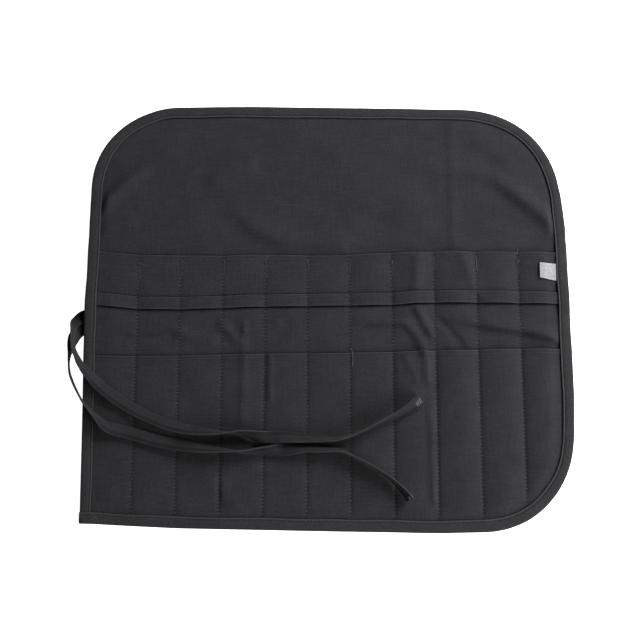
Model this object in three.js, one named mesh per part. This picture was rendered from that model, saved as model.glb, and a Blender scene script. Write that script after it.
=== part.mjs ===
// A brush roll laid open: a bound cloth panel with a tall and a short row of pockets, a loop
// band sewn across them, a small bare label and two tape ties at its left edge.
// Millimetres, +Z up. +X runs along the rows of pockets and +Y from the pockets to the flap.
// The origin lies under the middle of the bound cloth, on the surface that it rests on.
// The cloth is worked out on a straight plan (u, v), and placed() shifts it to the real cut,
// whose edges and seams wander a little. All layers share that plan, so they nest.

import * as THREE from 'three';

// Overall size of the bound cloth, and the three round corners. The fourth is square.
const rollWidth = 452.4;
const rollHeight = 405.2;
const topLeftRadius = 82;
const topRightRadius = 90;
const bottomRightRadius = 84;
// The most that a cut edge or a seam strays from straight
const cutDrift = 8;

// Cloth and its clearances
const clothThick = 1.0;
const layerGap = 0.3;

// Folded binding tape all round
const bindingWidth = 11;
const bindingThick = 1.0;
const bindingBevel = 0.7;
const edgeSeat = 0.8;
// Where a layer of cloth ends under the binding, the binding steps down over this length
const stepMargin = 2;
const stepLength = 10;
const cornerSteps = 10;
const sideStep = 40;
// Least distance between stations of the binding beside a corner
const stationGap = 4;

// Pockets: the mouths and the loop band are levels in v
const tallMouth = 56;
const bandMiddle = 10.5;
const bandWidth = 12;
const shortMouth = -39;
const pocketPitch = 39.6;
const pocketCount = 11;
const pocketShift = 1;
const pocketPuff = 5.2;
// Cells across each pocket, in the pockets and the band and in the flatter panel behind them
const cellsPerPocket = 3;
const panelCells = 2;

// Folds pressed into the flap
const foldRise = 2.4;
const foldReach = 12;

// Tape ties
const tapeWidth = 11.5;
const tapeThick = 1.6;
const tapeStep = 7;
const restClearance = 0.6;
// Places across a tape that are kept clear of the cloth, as shares of its width
const tapeShares = [-0.6, -0.3, 0, 0.3, 0.6];
// How many of a route's first spans lie under or beside the bound edge
const rootSpanCount = 3;

// Label
const labelWidth = 15.4;
const labelHeight = 17;
const labelThick = 0.8;
const labelClearance = 0.4;

// Worked out from the sizes above
const bandTop = bandMiddle + bandWidth / 2;
const bandBottom = bandMiddle - bandWidth / 2;
const panelInset = bindingThick + edgeSeat;
const liftAtTies = tapeThick + 2 * layerGap;
const labelMiddle = (bandTop + tallMouth) / 2;
const sideSeam = rollWidth / 2 - bindingWidth;
const pocketSpan = pocketPitch * (pocketCount - 2);
const firstDivider = pocketShift - pocketSpan / 2;
const lastDivider = pocketShift + pocketSpan / 2;

// How the seams wander. at is a share of rollWidth, the rest are shares of cutDrift, + is up.
const seamDrift = [
  { at: -0.50, bottom: 1.05, short: -0.32, band: 0.15, tall: 0.50, top: 0.00 },
  { at: -0.475, bottom: 1.02, short: -0.31, band: 0.10, tall: 0.38, top: 0.00 },
  { at: -0.39, bottom: 0.78, short: -0.37, band: -0.39, tall: -0.11, top: 0.00 },
  { at: -0.30, bottom: 0.54, short: -0.32, band: -0.43, tall: -0.16, top: 0.00 },
  { at: -0.216, bottom: 0.44, short: -0.19, band: -0.28, tall: -0.20, top: 0.00 },
  { at: -0.16, bottom: 0.38, short: -0.12, band: -0.13, tall: -0.05, top: 0.00 },
  { at: 0.00, bottom: 0.20, short: -0.04, band: 0.00, tall: -0.20, top: -0.15 },
  { at: 0.137, bottom: 0.08, short: 0.10, band: 0.11, tall: 0.16, top: -0.26 },
  { at: 0.18, bottom: 0.02, short: 0.17, band: 0.31, tall: 0.22, top: -0.30 },
  { at: 0.226, bottom: 0.00, short: 0.25, band: 0.39, tall: 0.30, top: -0.38 },
  { at: 0.31, bottom: 0.10, short: 0.35, band: 0.36, tall: 0.28, top: -0.50 },
  { at: 0.394, bottom: 0.14, short: 0.45, band: 0.27, tall: 0.25, top: -0.52 },
  { at: 0.50, bottom: 0.14, short: 0.45, band: 0.18, tall: 0.22, top: -0.52 },
];

// How far the side edges stand in. at is a share of rollHeight, the rest of cutDrift.
const sideDrift = [
  { at: -0.50, left: 0.48, right: 0.25 },
  { at: -0.31, left: 0.32, right: 0.25 },
  { at: -0.20, left: 0.20, right: 0.00 },
  { at: 0.00, left: 0.00, right: 0.00 },
  { at: 0.20, left: 0.00, right: 0.04 },
  { at: 0.30, left: 0.06, right: 0.36 },
  { at: 0.50, left: 0.00, right: 0.00 },
];

// How high each pocket stands open, as shares of pocketPuff: the tall pocket above the short
// one, the loop of the band and the short pocket. Those on the right were used, and stand up.
const pocketTable = [
  { tall: 0.40, loop: 0.60, short: 0.30 },
  { tall: 0.35, loop: 0.60, short: 0.30 },
  { tall: 0.40, loop: 0.65, short: 0.25 },
  { tall: 0.45, loop: 0.65, short: 0.30 },
  { tall: 0.55, loop: 0.60, short: 0.40 },
  { tall: 0.50, loop: 0.55, short: 0.35 },
  { tall: 0.50, loop: 0.60, short: 0.45 },
  { tall: 1.00, loop: 0.65, short: 1.00 },
  { tall: 1.00, loop: 0.70, short: 1.00 },
  { tall: 1.00, loop: 0.70, short: 1.04 },
  { tall: 1.00, loop: 0.60, short: 1.00 },
];
// What is left of a tall pocket's height where the short one lies over it
const pressedShare = 0.3;

// Creases of the flap: both ends as shares of rollWidth and rollHeight, the height as a share
// of foldRise (a valley is negative) and the reach to each side as a share of foldReach.
const flapFolds = [
  { fromU: -0.47, fromV: 0.265, toU: -0.37, toV: 0.365, rise: 0.80, reach: 1.0 },
  { fromU: -0.48, fromV: 0.205, toU: -0.41, toV: 0.225, rise: 0.35, reach: 0.8 },
  { fromU: -0.24, fromV: 0.315, toU: -0.16, toV: 0.355, rise: 0.35, reach: 1.0 },
  { fromU: -0.18, fromV: 0.25, toU: -0.14, toV: 0.19, rise: 0.50, reach: 1.0 },
  { fromU: -0.14, fromV: 0.19, toU: 0.01, toV: 0.17, rise: 0.50, reach: 1.2 },
  { fromU: 0.37, fromV: 0.325, toU: 0.47, toV: 0.225, rise: 1.00, reach: 1.1 },
  { fromU: 0.24, fromV: 0.345, toU: 0.32, toV: 0.345, rise: 0.30, reach: 0.8 },
  { fromU: 0.26, fromV: 0.46, toU: 0.26, toV: 0.15, rise: 0.35, reach: 0.6 },
];

// Routes of the ties along their middle line, root first, in real millimetres. roll turns the
// tape about that line: 0 is flat, -90 and -270 are on edge and -180 is flat with the other face
// up. over is how far the tape is held up above what it would rest on.
const upperRoute = [
  { x: -207, y: -4.3, roll: 0, over: 0 },
  { x: -217, y: -4.4, roll: 0, over: 0 },
  { x: -225.5, y: -4.6, roll: 0, over: 0 },
  { x: -230.3, y: -7, roll: 0, over: 0 },
  { x: -232.6, y: -12.2, roll: -50, over: 2 },
  { x: -233.2, y: -15.6, roll: -80, over: 5 },
  { x: -233.4, y: -23, roll: -88, over: 7.8 },
  { x: -233.4, y: -30.4, roll: -88, over: 7.8 },
  { x: -232.3, y: -38.4, roll: -86, over: 5.5 },
  { x: -228.7, y: -46.3, roll: -80, over: 2 },
  { x: -223.1, y: -54.6, roll: -65, over: 0 },
  { x: -215.7, y: -63, roll: -42, over: 0 },
  { x: -207.7, y: -71.4, roll: -27, over: 0 },
  { x: -196.6, y: -80.1, roll: -20, over: 0 },
  { x: -181.7, y: -89.6, roll: -20, over: 0 },
  { x: -165, y: -98.2, roll: -22, over: 0 },
  { x: -146.6, y: -105.6, roll: -27, over: 0 },
  { x: -128.1, y: -110.5, roll: -38, over: 0 },
  { x: -109.9, y: -112.7, roll: -58, over: 0 },
  { x: -93.6, y: -113.4, roll: -82, over: 0 },
  { x: -79.1, y: -113.5, roll: -102, over: 0 },
  { x: -68.3, y: -115.7, roll: -132, over: 0.3 },
  { x: -57.5, y: -117.7, roll: -162, over: 2.2 },
  { x: -43, y: -117.4, roll: -204, over: 2.6 },
  { x: -25, y: -118.2, roll: -226, over: 0.8 },
  { x: -5.2, y: -118.7, roll: -234, over: 0 },
  { x: 12.8, y: -118.8, roll: -262, over: 0 },
  { x: 30, y: -113.2, roll: -275, over: 0 },
  { x: 47.2, y: -104.9, roll: -282, over: 0 },
  { x: 62.6, y: -98.1, roll: -298, over: 0 },
  { x: 75.4, y: -90.5, roll: -318, over: 0 },
  { x: 85, y: -83.1, roll: -342, over: 0 },
];
const lowerRoute = [
  { x: -207, y: -16.1, roll: 0, over: 0 },
  { x: -217, y: -16.2, roll: 0, over: 0 },
  { x: -225.5, y: -16.6, roll: 0, over: 0 },
  { x: -230.5, y: -18.6, roll: 0, over: 0 },
  { x: -234, y: -24.2, roll: -28, over: 0 },
  { x: -236.1, y: -32, roll: -62, over: 0 },
  { x: -237.4, y: -39.9, roll: -95, over: 0 },
  { x: -238.1, y: -48.7, roll: -106, over: 0 },
  { x: -237.2, y: -58, roll: -107, over: 0 },
  { x: -234.1, y: -66.7, roll: -106, over: 0 },
  { x: -228.9, y: -76.3, roll: -103, over: 0 },
  { x: -221.3, y: -86.5, roll: -98, over: 0 },
  { x: -214.7, y: -94.1, roll: -86, over: 0 },
  { x: -207.8, y: -101.1, roll: -72, over: 0 },
  { x: -201.8, y: -106.5, roll: -46, over: 0 },
  { x: -194.7, y: -109.9, roll: -16, over: 0 },
  { x: -184.6, y: -112.5, roll: -8, over: 0 },
  { x: -170.1, y: -116.6, roll: -10, over: 0 },
  { x: -151.7, y: -121.3, roll: -14, over: 0 },
  { x: -133.4, y: -124.7, roll: -24, over: 0 },
  { x: -116.8, y: -126.9, roll: -42, over: 0 },
  { x: -102.3, y: -128.6, roll: -62, over: 0 },
  { x: -87.9, y: -129.9, roll: -82, over: 0 },
  { x: -75.3, y: -130.3, roll: -97, over: 0 },
  { x: -62.7, y: -129.9, roll: -115, over: 0 },
  { x: -50.2, y: -129.6, roll: -140, over: 0 },
  { x: -35.8, y: -128.3, roll: -204, over: 0 },
  { x: -19.6, y: -127.1, roll: -226, over: 0 },
  { x: -2.5, y: -127.6, roll: -232, over: 0 },
  { x: 11.9, y: -129, roll: -250, over: 0 },
  { x: 22.6, y: -133.9, roll: -266, over: 0 },
  { x: 36.9, y: -141.5, roll: -272, over: 0 },
  { x: 51.1, y: -150.8, roll: -278, over: 0 },
  { x: 63.5, y: -160.9, roll: -288, over: 0 },
  { x: 73.4, y: -173.1, roll: -303, over: 0 },
];

const clamp = THREE.MathUtils.clamp;
const lerp = THREE.MathUtils.lerp;

// The value of a table's column at a place between its rows
function tableValue(table, column, at) {
  const next = table.findIndex((row) => row.at >= at);
  if (next < 0) return table[table.length - 1][column];
  if (next === 0) return table[0][column];
  const [low, high] = [table[next - 1], table[next]];
  return lerp(low[column], high[column], (at - low.at) / (high.at - low.at));
}

// Seam levels in v, with the column of seamDrift that each follows
const seamLevels = [
  { level: -rollHeight / 2, column: 'bottom' },
  { level: shortMouth, column: 'short' },
  { level: bandMiddle, column: 'band' },
  { level: tallMouth, column: 'tall' },
  { level: rollHeight / 2, column: 'top' },
];

// The real place of a point of the straight plan
function placed(u, v) {
  const drift = seamLevels.map(({ level, column }) => ({
    at: level,
    shift: tableValue(seamDrift, column, u / rollWidth),
  }));
  const leftShare = clamp((firstDivider - u) / (firstDivider + rollWidth / 2), 0, 1);
  const rightShare = clamp((u - lastDivider) / (rollWidth / 2 - lastDivider), 0, 1);
  const left = tableValue(sideDrift, 'left', v / rollHeight) * leftShare;
  const right = tableValue(sideDrift, 'right', v / rollHeight) * rightShare;
  return [u + cutDrift * (left - right), v + cutDrift * tableValue(drift, 'shift', v)];
}

// The place on the straight plan of a real point. Each round takes off most of what is left.
const planRounds = 4;
function planned(x, y) {
  let [u, v] = [x, y];
  for (let round = 0; round < planRounds; round++) {
    const [px, py] = placed(u, v);
    u += x - px;
    v += y - py;
  }
  return [u, v];
}

function cornerRadius(u, v) {
  if (u < 0) return v < 0 ? 0 : topLeftRadius;
  return v < 0 ? bottomRightRadius : topRightRadius;
}

// Distance in from the outer edge of the bound cloth, negative outside it
function edgeDistance(u, v) {
  const radius = cornerRadius(u, v);
  const past = [Math.abs(u) - rollWidth / 2 + radius, Math.abs(v) - rollHeight / 2 + radius];
  const outside = Math.hypot(Math.max(past[0], 0), Math.max(past[1], 0));
  return radius - outside - Math.min(Math.max(past[0], past[1]), 0);
}

// How far the inset outline reaches along one axis, at a distance out along the other axis
function outlineReach(away, halfAway, halfAlong, radius, inset) {
  const past = Math.abs(away) - halfAway + radius;
  if (past <= 0) return halfAlong - inset;
  const reach = radius - inset;
  return halfAlong - radius + Math.sqrt(Math.max(reach * reach - past * past, 0));
}

// The upper or lower end of a column of the plan
function columnEnd(u, side, inset) {
  return side * outlineReach(u, rollWidth / 2, rollHeight / 2, cornerRadius(u, side), inset);
}

// The right or left end of a row of the plan
function rowEnd(v, side, inset) {
  return side * outlineReach(v, rollHeight / 2, rollWidth / 2, cornerRadius(side, v), inset);
}

// Lift of the cloth over the roots of the ties, which lie under the left edge. at is a level.
const liftRows = [
  { at: shortMouth - pocketPitch, lift: 0 },
  { at: shortMouth, lift: 0.5 },
  { at: lerp(shortMouth, bandBottom, 1 / 3), lift: 1 },
  { at: bandBottom, lift: 1 },
  { at: bandTop, lift: 0.5 },
  { at: labelMiddle, lift: 0 },
];

function tieLift(u, v) {
  const pocketCell = (firstDivider + sideSeam) / cellsPerPocket;
  const across = clamp((firstDivider - u) / (firstDivider + sideSeam - pocketCell), 0, 1);
  return liftAtTies * across * tableValue(liftRows, 'lift', v);
}

function segmentDistance(u, v, fold) {
  const from = new THREE.Vector3(fold.fromU * rollWidth, fold.fromV * rollHeight, 0);
  const to = new THREE.Vector3(fold.toU * rollWidth, fold.toV * rollHeight, 0);
  const point = new THREE.Vector3(u, v, 0);
  return new THREE.Line3(from, to).closestPointToPoint(point, true, new THREE.Vector3())
    .distanceTo(point);
}

function flapRise(u, v) {
  const clearOfEdge = clamp((edgeDistance(u, v) - bindingWidth - foldReach / 2) / foldReach, 0, 1);
  const clearOfPockets = clamp((v - tallMouth) / foldReach, 0, 1);
  let rise = 0;
  for (const fold of flapFolds) {
    const away = segmentDistance(u, v, fold) / (foldReach * fold.reach);
    rise += foldRise * fold.rise * Math.exp(-away * away);
  }
  return rise * clearOfEdge * clearOfPockets;
}

// Edges of the pockets along u: the two side seams and the dividers between them
function pocketEdges() {
  const dividers = [];
  for (let i = 0; i < pocketCount - 1; i++) dividers.push(firstDivider + i * pocketPitch);
  return [-sideSeam, ...dividers, sideSeam];
}

// Height of an arched pocket wall, zero at its seams and at the binding
function puff(u, v, column) {
  const edges = pocketEdges();
  const pocket = clamp(edges.findIndex((edge) => edge >= u) - 1, 0, pocketCount - 1);
  const along = clamp((u - edges[pocket]) / (edges[pocket + 1] - edges[pocket]), 0, 1);
  const clearOfEdge = clamp((edgeDistance(u, v) - bindingWidth) / bindingWidth, 0, 1);
  return pocketPuff * pocketTable[pocket][column] * 4 * along * (1 - along) * clearOfEdge;
}

// The short pocket presses the tall one flat below its mouth
const tallRows = [
  { at: shortMouth, share: pressedShare },
  { at: lerp(shortMouth, bandBottom, 2 / 3), share: 1 },
];

// Undersides of the layers, from the table up
const panelUnder = (u, v) => tieLift(u, v) + bindingThick + layerGap + flapRise(u, v);
const panelTop = (u, v) => panelUnder(u, v) + clothThick;
const tallUnder = (u, v) =>
  panelTop(u, v) + layerGap + puff(u, v, 'tall') * tableValue(tallRows, 'share', v);
const tallTop = (u, v) => tallUnder(u, v) + clothThick;
const bandUnder = (u, v) => tallTop(u, v) + layerGap + puff(u, v, 'loop');
const shortUnder = (u, v) => tallTop(u, v) + layerGap + puff(u, v, 'short');

// Layers of cloth inside the binding. at is a level in v.
const stackRows = [
  { at: shortMouth + stepMargin, layers: 3 },
  { at: shortMouth + stepMargin + stepLength, layers: 2 },
  { at: bandBottom - stepMargin - stepLength, layers: 2 },
  { at: bandBottom - stepMargin, layers: 3 },
  { at: bandTop + stepMargin, layers: 3 },
  { at: bandTop + stepMargin + stepLength, layers: 2 },
  { at: tallMouth + stepMargin, layers: 2 },
  { at: tallMouth + stepMargin + stepLength, layers: 1 },
];

// Upper face of the binding
function bindingTop(u, v) {
  const layers = tableValue(stackRows, 'layers', v);
  const stack = layers * (clothThick + layerGap);
  return tieLift(u, v) + bindingThick + layerGap + stack + bindingThick;
}

// Highest cloth under a real point, or the table
function clothTop(x, y) {
  const [u, v] = planned(x, y);
  const inside = edgeDistance(u, v);
  if (inside < 0) return 0;
  if (inside < bindingWidth) return bindingTop(u, v);
  if (v < shortMouth) return shortUnder(u, v) + clothThick;
  if (v > bandBottom && v < bandTop) return bandUnder(u, v) + clothThick;
  return v < tallMouth ? tallTop(u, v) : panelTop(u, v);
}

// A closed mesh from corner points and faces, each face a ring of corners seen from outside
function solidGeometry(corners, faces) {
  const geometry = new THREE.BufferGeometry();
  geometry.setAttribute('position', new THREE.Float32BufferAttribute(corners.flat(), 3));
  geometry.setIndex(faces.flatMap(([a, b, c, d]) => [a, b, c, a, c, d]));
  geometry.computeVertexNormals();
  return geometry;
}

// One layer of cloth. grid holds columns of plan points, each column from bottom to top, and
// under gives the height of the underside.
function clothGeometry(grid, under, thick) {
  const rows = grid[0].length;
  const corners = [];
  for (const rise of [0, thick]) {
    for (const [u, v] of grid.flat()) corners.push([...placed(u, v), under(u, v) + rise]);
  }
  const upper = grid.length * rows;
  const faces = [];
  for (let i = 0; i < grid.length - 1; i++) {
    for (let j = 0; j < rows - 1; j++) {
      const [a, b] = [i * rows + j, (i + 1) * rows + j];
      faces.push([upper + a, upper + b, upper + b + 1, upper + a + 1]);
      faces.push([a, a + 1, b + 1, b]);
    }
  }
  const rim = [];
  for (let i = 0; i < grid.length; i++) rim.push(i * rows);
  for (let j = 1; j < rows; j++) rim.push((grid.length - 1) * rows + j);
  for (let i = grid.length - 2; i >= 0; i--) rim.push(i * rows + rows - 1);
  for (let j = rows - 2; j > 0; j--) rim.push(j);
  rim.forEach((a, k) => {
    const b = rim[(k + 1) % rim.length];
    faces.push([a, b, upper + b, upper + a]);
  });
  return solidGeometry(corners, faces);
}

// Columns in u: the first pocket is cut as finely as it bends over the ties
function columnPlaces(cells) {
  const edges = pocketEdges();
  const places = [];
  edges.slice(0, -1).forEach((edge, pocket) => {
    const count = pocket === 0 ? cellsPerPocket : cells;
    for (let k = 0; k < count; k++) places.push(lerp(edge, edges[pocket + 1], k / count));
  });
  return [...places, sideSeam];
}

// Points of one column: whole zones between levels, each cut into equal cells
function columnPoints(u, zones) {
  const ends = {
    bottom: columnEnd(u, -1, panelInset),
    bottomHem: columnEnd(u, -1, bindingWidth),
    topHem: columnEnd(u, 1, bindingWidth),
    top: columnEnd(u, 1, panelInset),
  };
  const points = [];
  for (const { from, to, cells } of zones) {
    const [low, high] = [ends[from] ?? from, ends[to] ?? to];
    for (let k = 0; k < cells; k++) points.push([u, lerp(low, high, k / cells)]);
  }
  const last = zones[zones.length - 1].to;
  points.push([u, ends[last] ?? last]);
  return points;
}

// The outermost column follows the edge. Round a corner it stops halfway to its neighbour.
function edgeColumn(neighbour, side) {
  return neighbour.map(([, v]) => {
    const radius = cornerRadius(side, v);
    const past = Math.abs(v) - rollHeight / 2 + radius;
    const level = radius > 0 && past > 0 ? v - (Math.sign(v) * past) / 2 : v;
    return [rowEnd(level, side, panelInset), level];
  });
}

function clothGrid(cells, zones) {
  const inner = columnPlaces(cells).map((u) => columnPoints(u, zones));
  return [edgeColumn(inner[0], -1), ...inner, edgeColumn(inner[inner.length - 1], 1)];
}

const lowerZones = [
  { from: 'bottom', to: 'bottomHem', cells: 1 },
  { from: 'bottomHem', to: shortMouth - pocketPitch, cells: 4 },
  { from: shortMouth - pocketPitch, to: shortMouth, cells: 1 },
];
const middleZones = [
  { from: shortMouth, to: bandBottom, cells: 3 },
  { from: bandBottom, to: bandTop, cells: 1 },
  { from: bandTop, to: tallMouth, cells: 2 },
];
const flapZones = [
  { from: tallMouth, to: 'topHem', cells: 8 },
  { from: 'topHem', to: 'top', cells: 1 },
];
const bandZones = [{ from: bandBottom, to: bandTop, cells: 1 }];

// All of it is matt cotton
const clothRoughness = 0.95;
function material(colour) {
  return new THREE.MeshStandardMaterial({ color: colour, roughness: clothRoughness, metalness: 0 });
}

function piece(name, geometry, colour) {
  const mesh = new THREE.Mesh(geometry, material(colour));
  mesh.name = name;
  return mesh;
}

// Levels at which the binding's height changes, and a few more down to the square corner
function sideLevels() {
  const levels = [...liftRows, ...stackRows].map((row) => row.at);
  levels.push(tallMouth + sideStep);
  for (let v = liftRows[0].at - sideStep; v > stationGap - rollHeight / 2; v -= sideStep) levels.push(v);
  return [...new Set(levels)].sort((a, b) => a - b);
}

// Stations round one corner of the outer edge, anticlockwise from an angle
function cornerStations(centreU, centreV, radius, from) {
  const stations = [];
  for (let k = 0; k <= cornerSteps; k++) {
    const angle = from + (Math.PI / 2) * (k / cornerSteps);
    const [across, up] = [Math.cos(angle), Math.sin(angle)];
    stations.push({ u: centreU + radius * across, v: centreV + radius * up, inU: -across, inV: -up });
  }
  return stations;
}

// Stations round the outer edge, anticlockwise from the square corner. Each has its place on
// the edge and the direction straight in.
function edgeStations() {
  const [right, top] = [rollWidth / 2, rollHeight / 2];
  const rightArcEnd = bottomRightRadius + stationGap - top;
  const rightArcStart = top - topRightRadius - stationGap;
  const leftArcEnd = top - topLeftRadius - stationGap;
  const levels = sideLevels();
  const along = pocketEdges();
  return [
    { u: -right, v: -top, inU: 1, inV: 1 },
    ...along
      .filter((u) => u > bindingWidth + stationGap - right && u < right - bottomRightRadius - stationGap)
      .map((u) => ({ u, v: -top, inU: 0, inV: 1 })),
    ...cornerStations(right - bottomRightRadius, bottomRightRadius - top, bottomRightRadius, -Math.PI / 2),
    ...levels
      .filter((v) => v > rightArcEnd && v < rightArcStart)
      .map((v) => ({ u: right, v, inU: -1, inV: 0 })),
    ...cornerStations(right - topRightRadius, top - topRightRadius, topRightRadius, 0),
    ...along
      .filter((u) => u > topLeftRadius + stationGap - right && u < right - topRightRadius - stationGap)
      .reverse()
      .map((u) => ({ u, v: top, inU: 0, inV: -1 })),
    ...cornerStations(topLeftRadius - right, top - topLeftRadius, topLeftRadius, Math.PI / 2),
    ...levels
      .filter((v) => v < leftArcEnd)
      .reverse()
      .map((v) => ({ u: -right, v, inU: 1, inV: 0 })),
  ];
}

// The binding is a tape folded over the edge. Its section is a narrow U on its side.
function bindingGeometry() {
  const wall = bindingThick;
  const bevel = bindingThick - bindingBevel;
  const section = [
    { inward: bindingWidth, from: 'low', rise: 0 },
    { inward: wall, from: 'low', rise: 0 },
    { inward: bevel, from: 'low', rise: bevel },
    { inward: 0, from: 'low', rise: wall },
    { inward: 0, from: 'high', rise: -wall },
    { inward: bevel, from: 'high', rise: -bevel },
    { inward: wall, from: 'high', rise: 0 },
    { inward: bindingWidth, from: 'high', rise: 0 },
    { inward: bindingWidth, from: 'high', rise: -wall },
    { inward: wall, from: 'high', rise: -wall },
    { inward: wall, from: 'low', rise: wall },
    { inward: bindingWidth, from: 'low', rise: wall },
  ];
  const stations = edgeStations();
  const corners = [];
  for (const { u, v, inU, inV } of stations) {
    for (const { inward, from, rise } of section) {
      const [su, sv] = [u + inU * inward, v + inV * inward];
      const height = from === 'low' ? tieLift(su, sv) : bindingTop(su, sv);
      corners.push([...placed(su, sv), height + rise]);
    }
  }
  const faces = [];
  const sides = section.length;
  stations.forEach((_, i) => {
    const next = (i + 1) % stations.length;
    for (let k = 0; k < sides; k++) {
      const after = (k + 1) % sides;
      faces.push([next * sides + k, next * sides + after, i * sides + after, i * sides + k]);
    }
  });
  return solidGeometry(corners, faces);
}

// One step of a tape: its middle, the way across it and the way through it
function tapeFrame(route, curve, share) {
  const t = curve.getUtoTmapping(share);
  const place = curve.getPoint(t);
  const along = curve.getTangent(t);
  const index = Math.min(Math.floor(t * (route.length - 1)), route.length - 2);
  const part = t * (route.length - 1) - index;
  const roll = THREE.MathUtils.degToRad(lerp(route[index].roll, route[index + 1].roll, part));
  const left = new THREE.Vector3(-along.y, along.x, 0);
  const up = new THREE.Vector3(0, 0, 1);
  return {
    place,
    span: index + part,
    over: lerp(route[index].over, route[index + 1].over, part),
    across: left.clone().multiplyScalar(Math.cos(roll)).addScaledVector(up, Math.sin(roll)),
    through: left.clone().multiplyScalar(-Math.sin(roll)).addScaledVector(up, Math.cos(roll)),
  };
}

// Height of a tape's middle line where its lower edge or face just clears the cloth. The root
// lies flat on the table, under the edge.
function restHeight(frame) {
  if (frame.span < rootSpanCount) return layerGap + tapeThick / 2;
  let need = 0;
  for (const share of tapeShares) {
    const spot = frame.place.clone().addScaledVector(frame.across, share * tapeWidth);
    const ground = clothTop(spot.x, spot.y) + restClearance;
    const half = (tapeThick / 2) * Math.abs(frame.through.z);
    need = Math.max(need, ground + half - share * tapeWidth * frame.across.z);
  }
  return need + frame.over;
}

function tapeGeometry(route) {
  const curve = new THREE.CatmullRomCurve3(route.map(({ x, y }) => new THREE.Vector3(x, y, 0)));
  const steps = Math.round(curve.getLength() / tapeStep);
  const frames = [];
  for (let k = 0; k <= steps; k++) frames.push(tapeFrame(route, curve, k / steps));
  const heights = frames.map(restHeight);
  const eased = heights.map((height, k) => {
    if (frames[k].span < rootSpanCount) return height;
    const around = [heights[Math.max(k - 1, 0)], heights[Math.min(k + 1, steps)]];
    return Math.max(height, (around[0] + around[1]) / 2);
  });
  const half = tapeWidth / 2;
  const round = tapeThick / 2;
  const section = [
    [-half, 0], [-half + round / 2, -round], [half - round / 2, -round], [half, 0],
    [half - round / 2, round], [-half + round / 2, round],
  ];
  const corners = [];
  frames.forEach((frame, k) => {
    for (const [wide, thick] of section) {
      const spot = frame.place.clone().setZ(eased[k])
        .addScaledVector(frame.across, wide).addScaledVector(frame.through, thick);
      corners.push(spot.toArray());
    }
  });
  const sides = section.length;
  const faces = [];
  for (let i = 0; i < steps; i++) {
    for (let k = 0; k < sides; k++) {
      const after = (k + 1) % sides;
      faces.push([i * sides + k, i * sides + after, (i + 1) * sides + after, (i + 1) * sides + k]);
    }
  }
  const ends = [0, steps * sides];
  faces.push([ends[0] + 3, ends[0] + 2, ends[0] + 1, ends[0]]);
  faces.push([ends[0], ends[0] + 5, ends[0] + 4, ends[0] + 3]);
  faces.push([ends[1], ends[1] + 1, ends[1] + 2, ends[1] + 3]);
  faces.push([ends[1] + 3, ends[1] + 4, ends[1] + 5, ends[1]]);
  return solidGeometry(corners, faces);
}

// The label lies on the tall pocket, against the binding, and bends where the pocket does
function labelGeometry() {
  const right = sideSeam - layerGap;
  const left = right - labelWidth;
  const bends = columnPlaces(cellsPerPocket)
    .filter((u) => u > left + labelThick && u < right - labelThick);
  const columns = [left, ...bends, right];
  const rows = [labelMiddle - labelHeight / 2, labelMiddle, labelMiddle + labelHeight / 2];
  const grid = columns.map((u) => rows.map((v) => [u, v]));
  return clothGeometry(grid, (u, v) => tallTop(u, v) + labelClearance, labelThick);
}

const canvasGrey = 0x333333;
const bindingGrey = 0x383838;
const tieGrey = 0x363636;
const labelGrey = 0xb4b4b4;

const panelGrid = clothGrid(panelCells, [...lowerZones, ...middleZones, ...flapZones]);
const tallGrid = clothGrid(cellsPerPocket, [...lowerZones, ...middleZones]);
const shortGrid = clothGrid(cellsPerPocket, lowerZones);
const bandGrid = clothGrid(cellsPerPocket, bandZones);

const brushRoll = new THREE.Group();
brushRoll.add(
  piece('back_panel', clothGeometry(panelGrid, panelUnder, clothThick), canvasGrey),
  piece('tall_pocket', clothGeometry(tallGrid, tallUnder, clothThick), canvasGrey),
  piece('short_pocket', clothGeometry(shortGrid, shortUnder, clothThick), canvasGrey),
  piece('loop_band', clothGeometry(bandGrid, bandUnder, clothThick), canvasGrey),
  piece('edge_binding', bindingGeometry(), bindingGrey),
  piece('tie_upper', tapeGeometry(upperRoute), tieGrey),
  piece('tie_lower', tapeGeometry(lowerRoute), tieGrey),
  piece('label', labelGeometry(), labelGrey),
);

export default brushRoll;
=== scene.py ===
"""Dresses a packed brush roll: bound canvas, two rows of pockets, loop band, tape ties and label.

The cloth is worked out on a straight plan (u, v) in millimetres and moved to its real cut, whose
edges and seams wander a little. Finished meshes are in metres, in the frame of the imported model.
"""

import logging
import math
from collections.abc import Callable
from dataclasses import dataclass, field
from enum import Enum

import bpy
import numpy as np
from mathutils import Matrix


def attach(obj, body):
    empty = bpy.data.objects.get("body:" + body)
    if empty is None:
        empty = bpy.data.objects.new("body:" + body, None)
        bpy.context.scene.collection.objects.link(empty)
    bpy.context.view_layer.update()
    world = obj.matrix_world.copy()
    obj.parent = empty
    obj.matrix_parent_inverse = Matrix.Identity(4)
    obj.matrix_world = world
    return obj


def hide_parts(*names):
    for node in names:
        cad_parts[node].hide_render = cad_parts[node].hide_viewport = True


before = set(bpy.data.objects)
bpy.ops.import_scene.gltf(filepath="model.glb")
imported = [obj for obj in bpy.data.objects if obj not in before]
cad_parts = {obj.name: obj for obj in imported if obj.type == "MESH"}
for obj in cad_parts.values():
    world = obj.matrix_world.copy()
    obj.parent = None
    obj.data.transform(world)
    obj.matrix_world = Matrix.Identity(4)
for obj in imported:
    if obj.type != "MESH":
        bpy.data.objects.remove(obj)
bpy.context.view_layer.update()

MM = 0.001
BODY = "root"
UV_LAYER = "Weave"
# Share of the worn colour, which also stands for a painted highlight on edges and folds
WEAR_AND_HIGHLIGHT = "wear_and_highlight"
MARKS = "marks"
LOG = logging.getLogger("brush_roll")
# Away from the table, for stitches that lie on the cloth
UP = (0.0, 0.0, 1.0)

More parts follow.
